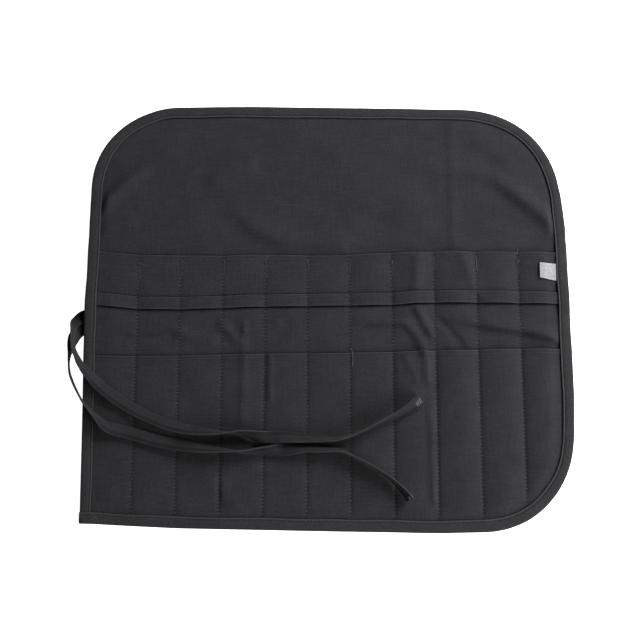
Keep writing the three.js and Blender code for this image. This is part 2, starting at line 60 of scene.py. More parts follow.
Array = np.ndarray
Maybe = Array | None
Pair = tuple[Array, Array]
Row = Callable[[Array], Array]
Material = bpy.types.Material
Node = bpy.types.Node
Piece = bpy.types.Object
Socket = bpy.types.NodeSocket
Tree = bpy.types.NodeTree


def bell(distance, reach) -> Array:
    """exp(-(distance / reach) ** 2): 1 in the middle and almost 0 at twice the reach."""
    return np.exp(-((distance / reach) ** 2))


def ramp(distance, reach) -> Array:
    """distance / reach, kept between 0 and 1."""
    return np.clip(distance / reach, 0, 1)


def unit(rows: Array) -> Array:
    """Rows of length 1 with the directions of the given ones."""
    return rows / np.linalg.norm(rows, axis=1, keepdims=True)


def points_of(x: Array, y: Array, z: Array) -> Array:
    """Grids of x, y and z as one (n, 3) array of points."""
    return np.stack(np.broadcast_arrays(x, y, z), -1).reshape(-1, 3)


@dataclass(frozen=True)
class Cut:
    """The straight plan of the roll and the wander of its real cut, in millimetres.

    Each table holds rows of (place, value, ...), the place as a share of the width or the height
    and the values as shares of drift.
    """

    width: float = 452.4
    height: float = 405.2
    top_left: float = 85.0
    top_right: float = 96.0
    bottom_right: float = 87.0
    drift: float = 8.0
    cloth: float = 1.0
    gap: float = 0.3
    binding: float = 11.0
    binding_thick: float = 1.0
    inset: float = 1.8
    tall_mouth: float = 54.0
    short_mouth: float = -40.0
    band_middle: float = 10.0
    band_width: float = 11.4
    pitch: float = 39.6
    shift: float = 1.0
    pockets: int = 11
    puff: float = 5.2
    pressed: float = 0.3
    tie_lift: float = 2.2
    step_margin: float = 2.0
    step_length: float = 10.0

    seam_drift: tuple = (
        (-0.500, 1.05, -0.32, 0.15, 0.50, 0.00),
        (-0.475, 1.02, -0.31, 0.10, 0.38, 0.00),
        (-0.390, 0.78, -0.37, -0.39, -0.11, -0.16),
        (-0.300, 0.54, -0.32, -0.43, -0.16, -0.18),
        (-0.216, 0.44, -0.19, -0.28, -0.20, -0.10),
        (-0.160, 0.38, -0.12, -0.13, -0.05, -0.09),
        (0.000, 0.20, -0.04, 0.00, -0.20, -0.22),
        (0.137, 0.08, 0.10, 0.11, 0.16, -0.32),
        (0.180, 0.02, 0.17, 0.31, 0.22, -0.36),
        (0.226, 0.00, 0.25, 0.39, 0.30, -0.42),
        (0.310, 0.10, 0.35, 0.36, 0.28, -0.50),
        (0.394, 0.14, 0.45, 0.27, 0.25, -0.52),
        (0.500, 0.14, 0.45, 0.18, 0.22, -0.52),
    )
    side_drift: tuple = (
        (-0.50, 0.48, 0.25),
        (-0.31, 0.32, 0.25),
        (-0.20, 0.20, 0.00),
        (0.00, 0.00, 0.00),
        (0.20, 0.00, 0.04),
        (0.30, 0.06, 0.46),
        (0.40, 0.04, 0.34),
        (0.50, 0.00, 0.06),
    )
    # Shares of puff: the tall pocket, the loop of the band and the short pocket
    openness: tuple = (
        (0.10, 0.14, 0.08),
        (0.12, 0.15, 0.09),
        (0.12, 0.15, 0.09),
        (0.16, 0.16, 0.10),
        (0.20, 0.16, 0.12),
        (0.20, 0.16, 0.12),
        (0.26, 0.18, 0.20),
        (0.46, 0.20, 0.38),
        (0.50, 0.22, 0.46),
        (0.52, 0.22, 0.52),
        (0.50, 0.20, 0.48),
    )

    @property
    def band_top(self) -> float:
        """Upper edge of the loop band."""
        return self.band_middle + self.band_width / 2

    @property
    def band_bottom(self) -> float:
        """Lower edge of the loop band."""
        return self.band_middle - self.band_width / 2

    @property
    def side_seam(self) -> float:
        """Distance from the middle to the binding's inner edge."""
        return self.width / 2 - self.binding

    @property
    def dividers(self) -> Array:
        """Places of the seams between the pockets."""
        count = self.pockets - 1
        return self.shift + self.pitch * (np.arange(count) - (count - 1) / 2)

    @property
    def edges(self) -> Array:
        """Both side seams and the dividers between them."""
        return np.concatenate([[-self.side_seam], self.dividers, [self.side_seam]])

    def placed(self, u: Array, v: Array) -> Pair:
        """Moves plan points to the real cut.

        A point shifts up by the drift of the seams above and below it, in proportion to its
        distance from each, and sideways by the drift of the side edge beyond the outer divider.

        Args:
            u: Places along the rows of pockets.
            v: Places across them.

        Returns:
            The real x and y of each point.
        """
        u, v = np.broadcast_arrays(np.asarray(u, float), np.asarray(v, float))
        table = np.array(self.seam_drift)
        levels = [-self.height / 2, self.short_mouth, self.band_middle, self.tall_mouth, self.height / 2]
        shifts = [np.interp(u / self.width, table[:, 0], table[:, k + 1]) for k in range(len(levels))]
        up = np.array(shifts[0])
        for k in range(len(levels) - 1):
            part = ramp(v - levels[k], levels[k + 1] - levels[k])
            up = up + part * (shifts[k + 1] - shifts[k])
        sides = np.array(self.side_drift)
        first, last = self.dividers[0], self.dividers[-1]
        half = self.width / 2
        left = np.interp(v / self.height, sides[:, 0], sides[:, 1]) * ramp(first - u, first + half)
        right = np.interp(v / self.height, sides[:, 0], sides[:, 2]) * ramp(u - last, half - last)
        return u + self.drift * (left - right), v + self.drift * up

    def planned(self, x: Array, y: Array) -> Pair:
        """Finds the plan points of real ones, by taking the remaining error off four times.

        Args:
            x: Real places along the rows.
            y: Real places across them.

        Returns:
            The plan's u and v of each point.
        """
        u, v = np.array(x, float), np.array(y, float)
        for _ in range(4):
            px, py = self.placed(u, v)
            u, v = u + x - px, v + y - py
        return u, v

    def radius(self, u: Array, v: Array) -> Array:
        """Corner radius of the quarter of the plan that each point lies in."""
        left = np.where(v < 0, 0.0, self.top_left)
        right = np.where(v < 0, self.bottom_right, self.top_right)
        return np.where(u < 0, left, right)

    def inside(self, u: Array, v: Array) -> Array:
        """Distance in from the outer edge, negative outside: a box with rounded corners."""
        r = self.radius(u, v)
        across = np.abs(u) - self.width / 2 + r
        up = np.abs(v) - self.height / 2 + r
        outer = np.hypot(np.maximum(across, 0), np.maximum(up, 0))
        return r - outer - np.minimum(np.maximum(across, up), 0)

    def column_end(self, u: Array, side: int, inset: float) -> Array:
        """Upper (side 1) or lower (side -1) end of a column, on the outline moved in by inset."""
        r = self.radius(u, np.full_like(u, side))
        return side * self.reach(u, r, self.width / 2, self.height / 2, inset)

    def row_end(self, v: Array, side: int, inset: float) -> Array:
        """Right (side 1) or left (side -1) end of a row, on the outline moved in by inset."""
        r = self.radius(np.full_like(v, side), v)
        return side * self.reach(v, r, self.height / 2, self.width / 2, inset)

    def reach(self, place: Array, r: Array, half: float, far: float, inset: float) -> Array:
        """Distance from the middle to the edge at far, along which the place runs up to half."""
        past = np.maximum(np.abs(place) - half + r, 0)
        round_part = np.sqrt(np.maximum((r - inset) ** 2 - past**2, 0))
        return np.where(past > 0, far - r + round_part, far - inset)


@dataclass(frozen=True)
class Crease:
    """One fold pressed into a cloth: a ridge, or a valley where rise is negative.

    Its line runs through real points in millimetres. The cross section is a bell whose two sides
    reach up_reach (to the left of the line's direction) and down_reach (to its right).
    """

    line: tuple
    rise: float
    up_reach: float
    down_reach: float
    # Length over which the fold rises from nothing at its start
    fade: float = 0.0
    # Strength of the painted shade in the bend at the fold's foot
    bend_shade: float = 0.0

    def nearness(self, x: Array, y: Array) -> Pair:
        """Distance from the line, positive to its left, and how far the fold has grown, 0 to 1."""
        best = np.full(np.shape(x), np.inf)
        side = np.ones(np.shape(x))
        run = np.zeros(np.shape(x))
        line = np.array(self.line, float)
        done = 0.0
        for start, end in zip(line[:-1], line[1:]):
            along = end - start
            length = math.hypot(*along)
            share = ((x - start[0]) * along[0] + (y - start[1]) * along[1]) / (along @ along)
            share = np.clip(share, 0, 1)
            dx, dy = x - start[0] - share * along[0], y - start[1] - share * along[1]
            away = np.hypot(dx, dy)
            turn = along[0] * dy - along[1] * dx
            side = np.where(away < best, np.sign(turn), side)
            run = np.where(away < best, done + share * length, run)
            best = np.minimum(best, away)
            done += length
        return best * np.where(side >= 0, 1, -1), ramp(run, self.fade) if self.fade else 1.0

    def height(self, x: Array, y: Array) -> Array:
        """Height of the fold: rise * exp(-(distance / reach) ** 2), faded out past its ends."""
        away, grown = self.nearness(x, y)
        reach = np.where(away >= 0, self.up_reach, self.down_reach)
        return self.rise * grown * bell(away, reach)

    def darkness(self, x: Array, y: Array) -> Array:
        """Painted shade line in the bend, on the slope to the line's right (its left in a valley)."""
        away, grown = self.nearness(x, y)
        reach = self.down_reach if self.rise > 0 else -self.up_reach
        return self.bend_shade * grown * bell(away + 0.8 * reach, 0.7 * abs(reach) + 0.4)


FLAP_CREASES = (
    Crease(((-160, 142), (-178, 135), (-196, 120), (-216, 99)), 4.2, 6.5, 6, 35.0),
    Crease(((-214, 78), (-188, 86)), 1.6, 6.8, 6.8),
    Crease(((-116, 120), (-98, 133), (-76, 140)), 1.9, 9, 9, 12.0),
    Crease(((-95, 102), (-80, 89), (-66, 76), (-45, 68), (-20, 65), (12, 65)), 2.9, 11, 6.5, 34.0),
    Crease(((128, 137), (158, 130), (178, 114), (196, 99), (217, 80)), 4.8, 11, 7, 62.0),
    Crease(((106, 135), (144, 135)), 1, 8.5, 6.8),
    Crease(((116.6, 192), (116.8, 120), (117, 56)), 0.8, 8, 0.9),
    Crease(((150, 168), (190, 128)), 1.2, 11.9, 11.9),
    Crease(((-40, 175), (30, 150)), 1, 18.7, 18.7),
    Crease(((40, 110), (90, 88)), 1, 15.3, 15.3),
)
# A sixth number in a row is the strength of the painted shade in the fold's bend
TALL_CREASES = (
    Crease(((-180, -22), (-136, -17)), 1.8, 7.6, 4.2),
    Crease(((-139, -23), (-108, -30)), 1.6, 6.8, 4.2),
    Crease(((-98, -14), (-82, -30)), 1.6, 5.1, 4.2),
    Crease(((-77, -19), (-46, -12)), 1.8, 3.4, 3.4),
    Crease(((-77, -12), (-76, -39)), 1.54, 1.8, 3),
    Crease(((23, -13), (60, -12), (72, -13), (79.5, -21), (85.5, -32), (89, -42)), 2.3, 5, 2.4, 20.0, 0.17),
    Crease(((80, 6), (87.5, -8), (94.5, -22)), 2.8, 4.5, 2.4, 6.0, 0.24),
    Crease(((107.5, -10), (127.5, -36)), -1.6, 1.9, 5, 0.0, 0.2),
    Crease(((104, -7), (137, -12), (161, -17), (182, -19), (200, -23.5), (217, -29)), 4.0, 9, 3.6, 60.0, 0.24),
    Crease(((85, 52), (82, 22)), 1.6, 5.1, 4.2),
    Crease(((128, 50), (138, 20)), 1.8, 6.8, 5.1),
)
SHORT_CREASES = (
    Crease(((-76, -39), (-76, -102)), 1.54, 1.5, 3.4),
    Crease(((-52, -41), (-52, -83)), 1.1, 1.5, 3.4),
    Crease(((88.5, -39), (91, -50), (91, -66)), 2.2, 3.2, 2.2, 0.0, 0.1),
    Crease(((72, -44), (82, -66)), 1, 2.5, 2.5),
    Crease(((92.9, -76), (93.6, -173)), 0.9, 7, 1.5, 25.0, 0.5),
    Crease(((-110, -150), (-84, -178)), 1.2, 8.5, 8.5),
)


def creased(creases: tuple, x: Array, y: Array) -> Array:
    """Sum of the heights of several folds at real points."""
    return sum(crease.height(x, y) for crease in creases)


@dataclass(frozen=True)
class Skins:
    """Heights of the layers of cloth over the table, in millimetres, from the table up."""

    cut: Cut = Cut()
    # Depth to which thread pulls the cloth down along a seam, and how near the seam that shows
    pinch: float = 0.16
    pinch_reach: float = 1.9
    stitch: float = 3.3
    # A worn pocket's arch leans a little: its crown lies nearer its right seam
    lean: float = 0.03
    slack_rise: float = 0.16
    # Width of the strip beside the binding in which the folds of the flap and the pockets fade
    flap_margin: float = 6.0
    fold_margin: float = 8.0
    # How far a valley may sink the tall pocket, which keeps it clear of the back panel
    deepest: float = -0.2
    # Reach of the painted shade in the needle holes beside a seam, and reach and strength of the painted shade beside
    # the binding
    hole_shade_reach: float = 1.3
    binding_shade_reach: float = 1.0
    binding_painted_shade: float = 0.25

    def tie_lift(self, u: Array, v: Array) -> Array:
        """Rise of the cloth over the ties' roots: full at the left edge, none at the first divider."""
        c = self.cut
        first = c.dividers[0]
        levels = [
            c.short_mouth - c.pitch,
            c.short_mouth,
            c.short_mouth + (c.band_bottom - c.short_mouth) / 3,
            c.band_bottom,
            c.band_top,
            (c.band_top + c.tall_mouth) / 2,
        ]
        across = ramp(first - u, (first + c.side_seam) * 2 / 3)
        return c.tie_lift * across * np.interp(v, levels, [0, 0.5, 1, 1, 0.5, 0])

    def from_seam(self, u: Array) -> Array:
        """Distance from the nearest divider."""
        return np.min(np.abs(u[..., None] - self.cut.dividers), axis=-1)

    def clear(self, u: Array, v: Array, reach: float) -> Array:
        """0 under the binding, rising to 1 at a distance from its inner edge."""
        return ramp(self.cut.inside(u, v) - self.cut.binding, reach)

    def arch(self, u: Array, v: Array, column: int) -> Array:
        """Arched wall of the pockets: 1 - (2 s - 1) ** 2 between two seams, sunk at the binding."""
        c = self.cut
        edges = c.edges
        pocket = np.clip(np.searchsorted(edges, u) - 1, 0, c.pockets - 1)
        s = ramp(u - edges[pocket], edges[pocket + 1] - edges[pocket])
        s = s - self.lean * np.sin(np.pi * s) ** 2
        share = np.array(c.openness)[pocket, column]
        return c.puff * share * (1 - (2 * s - 1) ** 2) * self.clear(u, v, c.binding)

    def pinched(self, u: Array, v: Array) -> Array:
        """Dip along each divider, deepest at the needle holes: a bell times a wave of one stitch."""
        wave = 0.7 + 0.3 * np.cos(2 * np.pi * v / self.stitch)
        return -self.pinch * bell(self.from_seam(u), self.pinch_reach) * wave

    def slack(self, u: Array, v: Array) -> Array:
        """Faint unevenness of laid cloth: a few long sine waves of unlike direction."""
        a = np.sin(u / 31 + v / 47 + 0.7) * np.sin(v / 23 - u / 71)
        b = np.sin(u / 17 - v / 29 + 2.1) * np.sin(v / 41 + u / 19 + 0.4)
        return self.slack_rise * (a + 0.6 * b)

    def marks(self, u: Array, v: Array, layer_top: float, edges: tuple = (), folds: tuple = ()) -> Array:
        """Needle-hole nearness and painted shade of a layer: a bell beside each seam, and painted shade beside the
        binding, in the folds' bends and beside overlying edges.

        Args:
            u: Plan places along the rows.
            v: Plan places across them.
            layer_top: Level above which the layer carries no seams.
            edges: Rows (level, way, reach, strength) of edges that lie over this layer, way 1 where the open cloth lies
                above the level and -1 where it lies below, strength that of the painted shade beside the edge.
            folds: The layer's creases.

        Returns:
            Array of (n, 3) rows for link_mesh.
        """
        c = self.cut
        # Nearness to a seam, which the material turns into painted shade in the needle holes
        near = bell(self.from_seam(u), self.hole_shade_reach) * (v < layer_top)
        # Painted shade beside the binding, beside edges that lie over the layer, and in the folds' bends
        beside = np.clip(c.inside(u, v) - c.binding, 0, None)
        dark = self.binding_painted_shade * bell(beside, self.binding_shade_reach)
        for level, way, reach, strength in edges:
            out = np.clip((v - level) * way, -1, None)
            dark = np.maximum(dark, strength * bell(out, reach) * (out > -0.9))
        x, y = c.placed(u, v)
        for fold in folds:
            dark = np.maximum(dark, fold.darkness(x, y))
        return points_of(near, v, dark)

    def panel_under(self, u: Array, v: Array) -> Array:
        """Underside of the back panel: clear of the table, with the flap's folds."""
        c = self.cut
        folds = creased(FLAP_CREASES, *c.placed(u, v)) + self.slack(u, v) + 0.25
        shown = self.clear(u, v, self.flap_margin) * ramp(v - c.tall_mouth + 4, 10)
        return self.tie_lift(u, v) + c.binding_thick + c.gap + folds * shown

    def tall_under(self, u: Array, v: Array) -> Array:
        """Underside of the tall pocket, pressed flat where the short one lies over it."""
        c = self.cut
        levels = [c.short_mouth, c.short_mouth + (c.band_bottom - c.short_mouth) * 2 / 3, c.tall_mouth]
        arch = self.arch(u, v, 0) * np.interp(v, levels, [c.pressed, 0.8, 1])
        shown = ramp(v - c.short_mouth + 6, 6) * ramp(c.tall_mouth + 2 - v, 6)
        folds = creased(TALL_CREASES, *c.placed(u, v)) * self.clear(u, v, self.fold_margin) * shown
        rise = arch + folds + self.pinched(u, v) * (v < c.tall_mouth - 8)
        return self.panel_under(u, v) + c.cloth + c.gap + np.maximum(rise, self.deepest)

    def over_tall(self, u: Array, v: Array) -> Array:
        """The least height for a layer on the tall pocket."""
        return self.tall_under(u, v) + self.cut.cloth + self.cut.gap

    def band_under(self, u: Array, v: Array) -> Array:
        """Underside of the band: arched between dividers, its lower edge standing out more."""
        c = self.cut
        lower = ramp(c.band_top - v, c.band_width)
        return self.over_tall(u, v) + self.arch(u, v, 1) * (0.8 + 0.35 * lower) + self.pinched(u, v) * 0.5

    def short_under(self, u: Array, v: Array) -> Array:
        """Underside of the short pocket, with its folds."""
        c = self.cut
        folds = creased(SHORT_CREASES, *c.placed(u, v)) + 0.8 * self.slack(u, v) + 0.2
        shown = self.clear(u, v, self.fold_margin) * ramp(self.from_seam(u), 3)
        fuller = np.interp(v, [-c.height / 2 + c.binding, c.short_mouth], [0.6, 1])
        return self.over_tall(u, v) + self.arch(u, v, 2) * fuller + folds * shown + self.pinched(u, v)

    def binding_top(self, u: Array, v: Array) -> Array:
        """Upper face of the binding, which steps down where a layer of cloth ends under it."""
        c = self.cut
        up, far = c.step_margin, c.step_margin + c.step_length
        levels = [c.short_mouth + up, c.short_mouth + far, c.band_bottom - far, c.band_bottom - up]
        levels += [c.band_top + up, c.band_top + far, c.tall_mouth + up, c.tall_mouth + far]
        layers = np.interp(v, levels, [3, 2, 2, 3, 3, 2, 2, 1])
        return self.tie_lift(u, v) + 2 * c.binding_thick + c.gap + layers * (c.cloth + c.gap)

    def top(self, u: Array, v: Array) -> Array:
        """Highest face of the cloth at plan points, or the table outside it."""
        c = self.cut
        inside = c.inside(u, v)
        cloth = np.where(v < c.tall_mouth, self.tall_under(u, v), self.panel_under(u, v)) + c.cloth
        banded = (v > c.band_bottom) & (v < c.band_top)
        cloth = np.where(banded, self.band_under(u, v) + c.cloth, cloth)
        cloth = np.where(v < c.short_mouth, self.short_under(u, v) + c.cloth, cloth)
        cloth = np.where(inside < c.binding, self.binding_top(u, v), cloth)
        return np.where(inside < 0, 0.0, cloth)

    def real_top(self, x: Array, y: Array) -> Array:
        """Highest face of the cloth at real points."""
        return self.top(*self.cut.planned(x, y))


def link_mesh(
    name: str, points: Array, quads: Array, uv: Maybe = None, wear_and_highlight: Maybe = None, marks: Maybe = None
) -> Piece:
    """Makes a smooth-shaded object from points in millimetres and four-cornered faces.

    Args:
        name: The piece's name.
        points: Array of (n, 3) corners.
        quads: Array of (m, 4) corner numbers, seen anticlockwise from outside.
        uv: One (n, 2) weave place in metres for each corner.
        wear_and_highlight: How worn each corner is, and how much painted highlight it carries, from 0 to 1.
        marks: One (n, 3) row for each corner: nearness to a seam from 0 to 1, which sets painted shade in the needle
            holes, place along the seam in millimetres, and the painted shade there, from 0 to 1.

    Returns:
        The object, linked to the scene and riding on the body.
    """
    mesh = bpy.data.meshes.new(name)
    mesh.vertices.add(len(points))
    mesh.vertices.foreach_set("co", (points * MM).astype(np.float32).ravel())
    mesh.loops.add(quads.size)
    mesh.loops.foreach_set("vertex_index", quads.astype(np.int32).ravel())
    mesh.polygons.add(len(quads))
    mesh.polygons.foreach_set("loop_start", np.arange(0, quads.size, 4, dtype=np.int32))
    mesh.polygons.foreach_set("use_smooth", np.ones(len(quads), bool))
    if uv is not None:
        layer = mesh.uv_layers.new(name=UV_LAYER)
        layer.uv.foreach_set("vector", uv[quads.ravel()].astype(np.float32).ravel())
    for label, kind, part, values in ((WEAR_AND_HIGHLIGHT, "FLOAT", "value", wear_and_highlight), (MARKS, "FLOAT_VECTOR", "vector", marks)):
        if values is not None:
            mesh.attributes.new(label, kind, "POINT").data.foreach_set(part, values.astype(np.float32).ravel())
    mesh.update(calc_edges=True)
    mesh.validate()
    piece = bpy.data.objects.new(name, mesh)
    bpy.context.scene.collection.objects.link(piece)
    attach(piece, BODY)
    return piece


def finish_piece(piece: Piece, material: Material) -> None:
    """Gives a piece its material, and reports it."""
    piece.data.materials.append(material)
    LOG.info("%s: %d faces", piece.name, len(piece.data.polygons))


def slab(name: str, x: Array, y: Array, low: Array, high: Array, wear_and_highlight: Array, marks: Maybe = None) -> Piece:
    """A closed slab over a grid of real points: a lower and an upper face, and a wall round the rim.

    Args:
        name: The piece's name.
        x: Real places along the rows, in an array of (columns, rows).
        y: Real places across them.
        low: Height of the underside.
        high: Height of the top.
        wear_and_highlight: How worn each place is, and how much painted highlight it carries.
        marks: Rows for link_mesh, one for each place.

    Returns:
        The object.
    """
    points = np.vstack([points_of(x, y, z) for z in (low, high)])
    number = np.arange(x.size).reshape(x.shape)
    a, b = number[:-1, :-1].ravel(), number[1:, :-1].ravel()
    c, d = number[1:, 1:].ravel(), number[:-1, 1:].ravel()
    rim = np.concatenate([number[:, 0], number[-1, 1:], number[-2::-1, -1], number[0, -2:0:-1]])
    after = np.roll(rim, -1)
    faces = ((a, d, c, b), (a + x.size, b + x.size, c + x.size, d + x.size), (rim, after, after + x.size, rim + x.size))
    quads = np.concatenate([np.stack(corners, 1) for corners in faces])
    both = None if marks is None else np.tile(marks, (2, 1))
    return link_mesh(name, points, quads, points[:, :2] * MM, np.tile(wear_and_highlight.ravel(), 2), both)


def ring_quads(stations: int, sides: int) -> Array:
    """Faces of a section carried along a path, with both ends capped.

    Args:
        stations: Number of sections.
        sides: Number of points in a section, even, laid out so that k faces sides - 1 - k.

    Returns:
        Array of (m, 4) corner numbers.
    """
    number = np.arange(stations * sides).reshape(stations, sides)
    here, nexts = number[:-1], number[1:]
    wall = np.stack([here, np.roll(here, -1, 1), np.roll(nexts, -1, 1), nexts], -1).reshape(-1, 4)
    k = np.arange(sides // 2 - 1)
    cap = np.stack([k, k + 1, sides - 2 - k, sides - 1 - k], 1)
    return np.concatenate([wall, cap[:, ::-1], cap + (stations - 1) * sides])


def repeated(quads: Array, count: int, size: int) -> Array:
    """Faces of several copies of a shape of size points, stored one after the other."""
    return (quads + np.arange(count)[:, None, None] * size).reshape(-1, 4)


def rounded(low: Array, high: Array, away: Array, thick: float) -> Pair:
    """Both faces of a cloth, drawn together near its rim: a quarter circle, a little blunt."""
    share = np.maximum(np.sqrt(np.maximum(1 - (1 - ramp(away, thick / 2)) ** 2, 0)), 0.2)
    middle, half = (low + high) / 2, (high - low) / 2
    return middle - half * share, middle + half * share


def flat_row(level: float) -> Row:
    """Row function of one level."""
    return lambda u: np.full_like(u, level)


@dataclass
class Canvas:
    """The four layers of canvas: back panel, tall pocket, short pocket and loop band."""

    skins: Skins = field(default_factory=Skins)
    # Places of the columns within a pocket, closer together beside the seams
    shares: tuple = (
        *(0, 0.014, 0.034, 0.062, 0.1, 0.15, 0.21, 0.28, 0.36, 0.44),
        *(0.52, 0.6, 0.68, 0.76, 0.83, 0.89, 0.93, 0.96, 0.982),
    )
    # Distances of rows from a mouth, from the band's edges, and from an edge that lies over a layer
    mouth_rows: tuple = (5.4, 4.6, 4.1, 3.8, 3.5, 3.2, 2.8, 2.2, 1.5, 1.0, 0.6, 0.35, 0.18, 0.07, 0.0)
    band_rows: tuple = (0, 0.07, 0.18, 0.35, 0.6, 1.0, 1.6, 2.4, 3.6, 4.8)
    near_rows: tuple = (-2.2, -1.6, -1.1, -0.7, -0.3, 0.0, 0.3, 0.7, 1.1, 1.6, 2.2)
    # Even rows nearer than this to such an edge are left out
    near: float = 2.6
    # Distances between rows: under the binding, on shown cloth, and on the flap
    rim_step: float = 4.6
    shown_step: float = 1.5
    flap_step: float = 2.3
    # A mouth's hem: how much thicker and how deep it is, its edge, and its stitches' groove
    hem_rise: float = 0.3
    hem_depth: float = 5.0
    hem_edge: float = 0.6
    hem_groove: float = 3.5
    groove_reach: float = 0.45
    groove_depth: float = 0.28
    # The band's folded thickness, and its stitches' groove
    band_rise: float = 0.15
    band_groove: float = 1.6
    band_reach: float = 0.5
    band_depth: float = 0.18
    # Width of the worn fold at a mouth or a band edge, painted lighter as a highlight
    wear_highlight_reach: float = 0.9

    def columns(self) -> Array:
        """Plan places of the columns between the side seams."""
        edges = self.skins.cut.edges
        inner = edges[:-1, None] + np.diff(edges)[:, None] * np.array(self.shares)
        return np.append(inner.ravel(), edges[-1])

    def plan(self, rows: list[Row]) -> Pair:
        """Grid of plan points: straight columns, and two more that follow each side edge.

        Args:
            rows: Row functions, from the lowest to the highest.

        Returns:
            Arrays u and v of (columns, rows).
        """
        c = self.skins.cut
        u = self.columns()
        v = np.stack([row(u) for row in rows], 1)
        grid = np.stack([np.repeat(u[:, None], v.shape[1], 1), v])
        sides = []
        for side, near in ((-1, 0), (1, -1)):
            level = v[near]
            r = c.radius(np.full_like(level, side), level)
            past = np.abs(level) - c.height / 2 + r
            level = np.where((r > 0) & (past > 0), level - np.sign(level) * past / 2, level)
            outer = np.stack([c.row_end(level, side, c.inset), level])
            sides.append(np.stack([outer, (outer + grid[:, near]) / 2], 1))
        u, v = np.concatenate([sides[0], grid, sides[1][:, ::-1]], 1)
        return u, v

    def between(self, low: Row, high: Row, step: float) -> list[Row]:
        """Row functions at about equal steps from one row up to, and without, another."""
        middle = np.zeros(1)
        count = max(int(round(float(abs(high(middle) - low(middle))[0]) / step)), 1)
        return [lambda u, k=k: low(u) + (high(u) - low(u)) * (k / count) for k in range(count)]

    def levels(self, low: float, high: float, near: tuple) -> list[Row]:
        """Row functions at even levels from low to below high, and at closer ones beside some edges."""
        even = np.arange(low, high, self.shown_step)
        for level in near:
            even = even[np.abs(even - level) > self.near]
        close = [level + d for level in near for d in self.near_rows]
        return [flat_row(level) for level in np.sort(np.concatenate([even, close]))]

    def end(self, side: int, inset: float, drop: float = 0.0) -> Row:
        """Row function of the upper (side 1) or lower (side -1) edge, moved in, and then down."""
        return lambda u: self.skins.cut.column_end(u, side, inset) - drop

    def layer(
        self, name: str, rows: list[Row], under, mouth: float | None, edges: tuple = (), folds: tuple = ()
    ) -> Piece:
        """One layer as a closed slab: the underside plus the cloth's thickness, round at its mouth.

        The cloth is thicker by hem_rise within hem_depth of the mouth, with a groove for the hem's
        stitches, and its mouth edge is a half circle.

        Args:
            name: The piece's name.
            rows: Row functions, from the lowest to the highest.
            under: Function of u and v that gives the underside's height.
            mouth: Level of the folded upper edge, or None.
            edges: Edges that lie over this layer and the painted shade beside them, as Skins.marks takes them.
            folds: The layer's creases.

        Returns:
            The object.
        """
        thick = self.skins.cut.cloth
        u, v = self.plan(rows)
        low = under(u, v)
        high = low + thick
        wear_and_highlight = np.zeros(u.shape)
        if mouth is not None:
            away = mouth - v
            hem = ramp(self.hem_depth - away, self.hem_edge)
            high = high + self.hem_rise * hem - self.groove_depth * bell(away - self.hem_groove, self.groove_reach)
            low, high = rounded(low, high, away, thick)
            # Worn fold at the mouth, painted lighter as a highlight
            wear_and_highlight = np.clip(1.15 - away / self.wear_highlight_reach, 0, 1)
        # Painted shade in the needle holes, beside the binding, beside overlying edges and in the folds' bends
        marks = self.skins.marks(u, v, -np.inf if mouth is None else mouth - 1, edges, folds)
        return slab(name, *self.skins.cut.placed(u, v), low, high, wear_and_highlight, marks)

    def band(self) -> Piece:
        """The loop band: a flat folded strip, round at both edges, sewn down at each divider."""
        c, s = self.skins.cut, self.skins
        steps = np.array(self.band_rows)
        levels = np.concatenate([c.band_bottom + steps, [c.band_middle], c.band_top - steps[::-1]])
        u, v = self.plan([flat_row(level) for level in levels])
        low = s.band_under(u, v)
        away = np.minimum(v - c.band_bottom, c.band_top - v)
        high = low + c.cloth + self.band_rise - self.band_depth * bell(away - self.band_groove, self.band_reach)
        low, high = rounded(low, high, away, c.cloth)
        # Worn folded edges of the band, painted lighter as a highlight
        wear_and_highlight = np.clip(1.1 - away / self.wear_highlight_reach, 0, 1)
        return slab("loop_band_cloth", *c.placed(u, v), low, high, wear_and_highlight, s.marks(u, v, c.band_top))

    def build(self, material: Material) -> None:
        """Makes the four layers in place of their plain solids."""
        c, s = self.skins.cut, self.skins
        short, tall = c.short_mouth, c.tall_mouth
        at_short, at_tall = ([flat_row(mouth - d) for d in self.mouth_rows] for mouth in (short, tall))
        # Each stretch of rows stops before the next one starts
        sewn = self.end(-1, c.binding)
        rim = self.between(self.end(-1, c.inset), sewn, self.rim_step)
        rows = rim + self.between(sewn, flat_row(short - 6.2), self.shown_step) + at_short
        short_piece = self.layer("short_pocket_cloth", rows, s.short_under, short, (), SHORT_CREASES)

        shown = self.levels(short - 6, tall - 6.2, (short, c.band_bottom, c.band_top))
        rows = rim + self.between(sewn, flat_row(short - 6), 12) + shown + at_tall
        # Painted shade on the tall pocket at the short pocket's mouth, under the band's lower edge and at its upper
        # edge
        edges = ((short, 1, 0.9, 0.8), (c.band_bottom, -1, 1.7, 0.85), (c.band_top, 1, 0.9, 0.8))
        tall_piece = self.layer("tall_pocket_cloth", rows, s.tall_under, tall, edges, TALL_CREASES)

        top_seam, top = self.end(1, c.binding), self.end(1, c.inset)
        rows = rim + self.between(sewn, flat_row(tall - 3), 16) + self.levels(tall - 3, tall + 3, (tall,))
        rows += self.between(flat_row(tall + 3), self.end(1, c.binding, 1.8), self.flap_step)
        rows += [self.end(1, c.binding, d) for d in (1.8, 1.2, 0.6)] + self.between(top_seam, top, self.rim_step)
        # Painted shade on the panel just above the tall pocket's mouth
        panel = self.layer("back_panel_cloth", rows + [top], s.panel_under, None, ((tall, 1, 0.9, 0.8),))

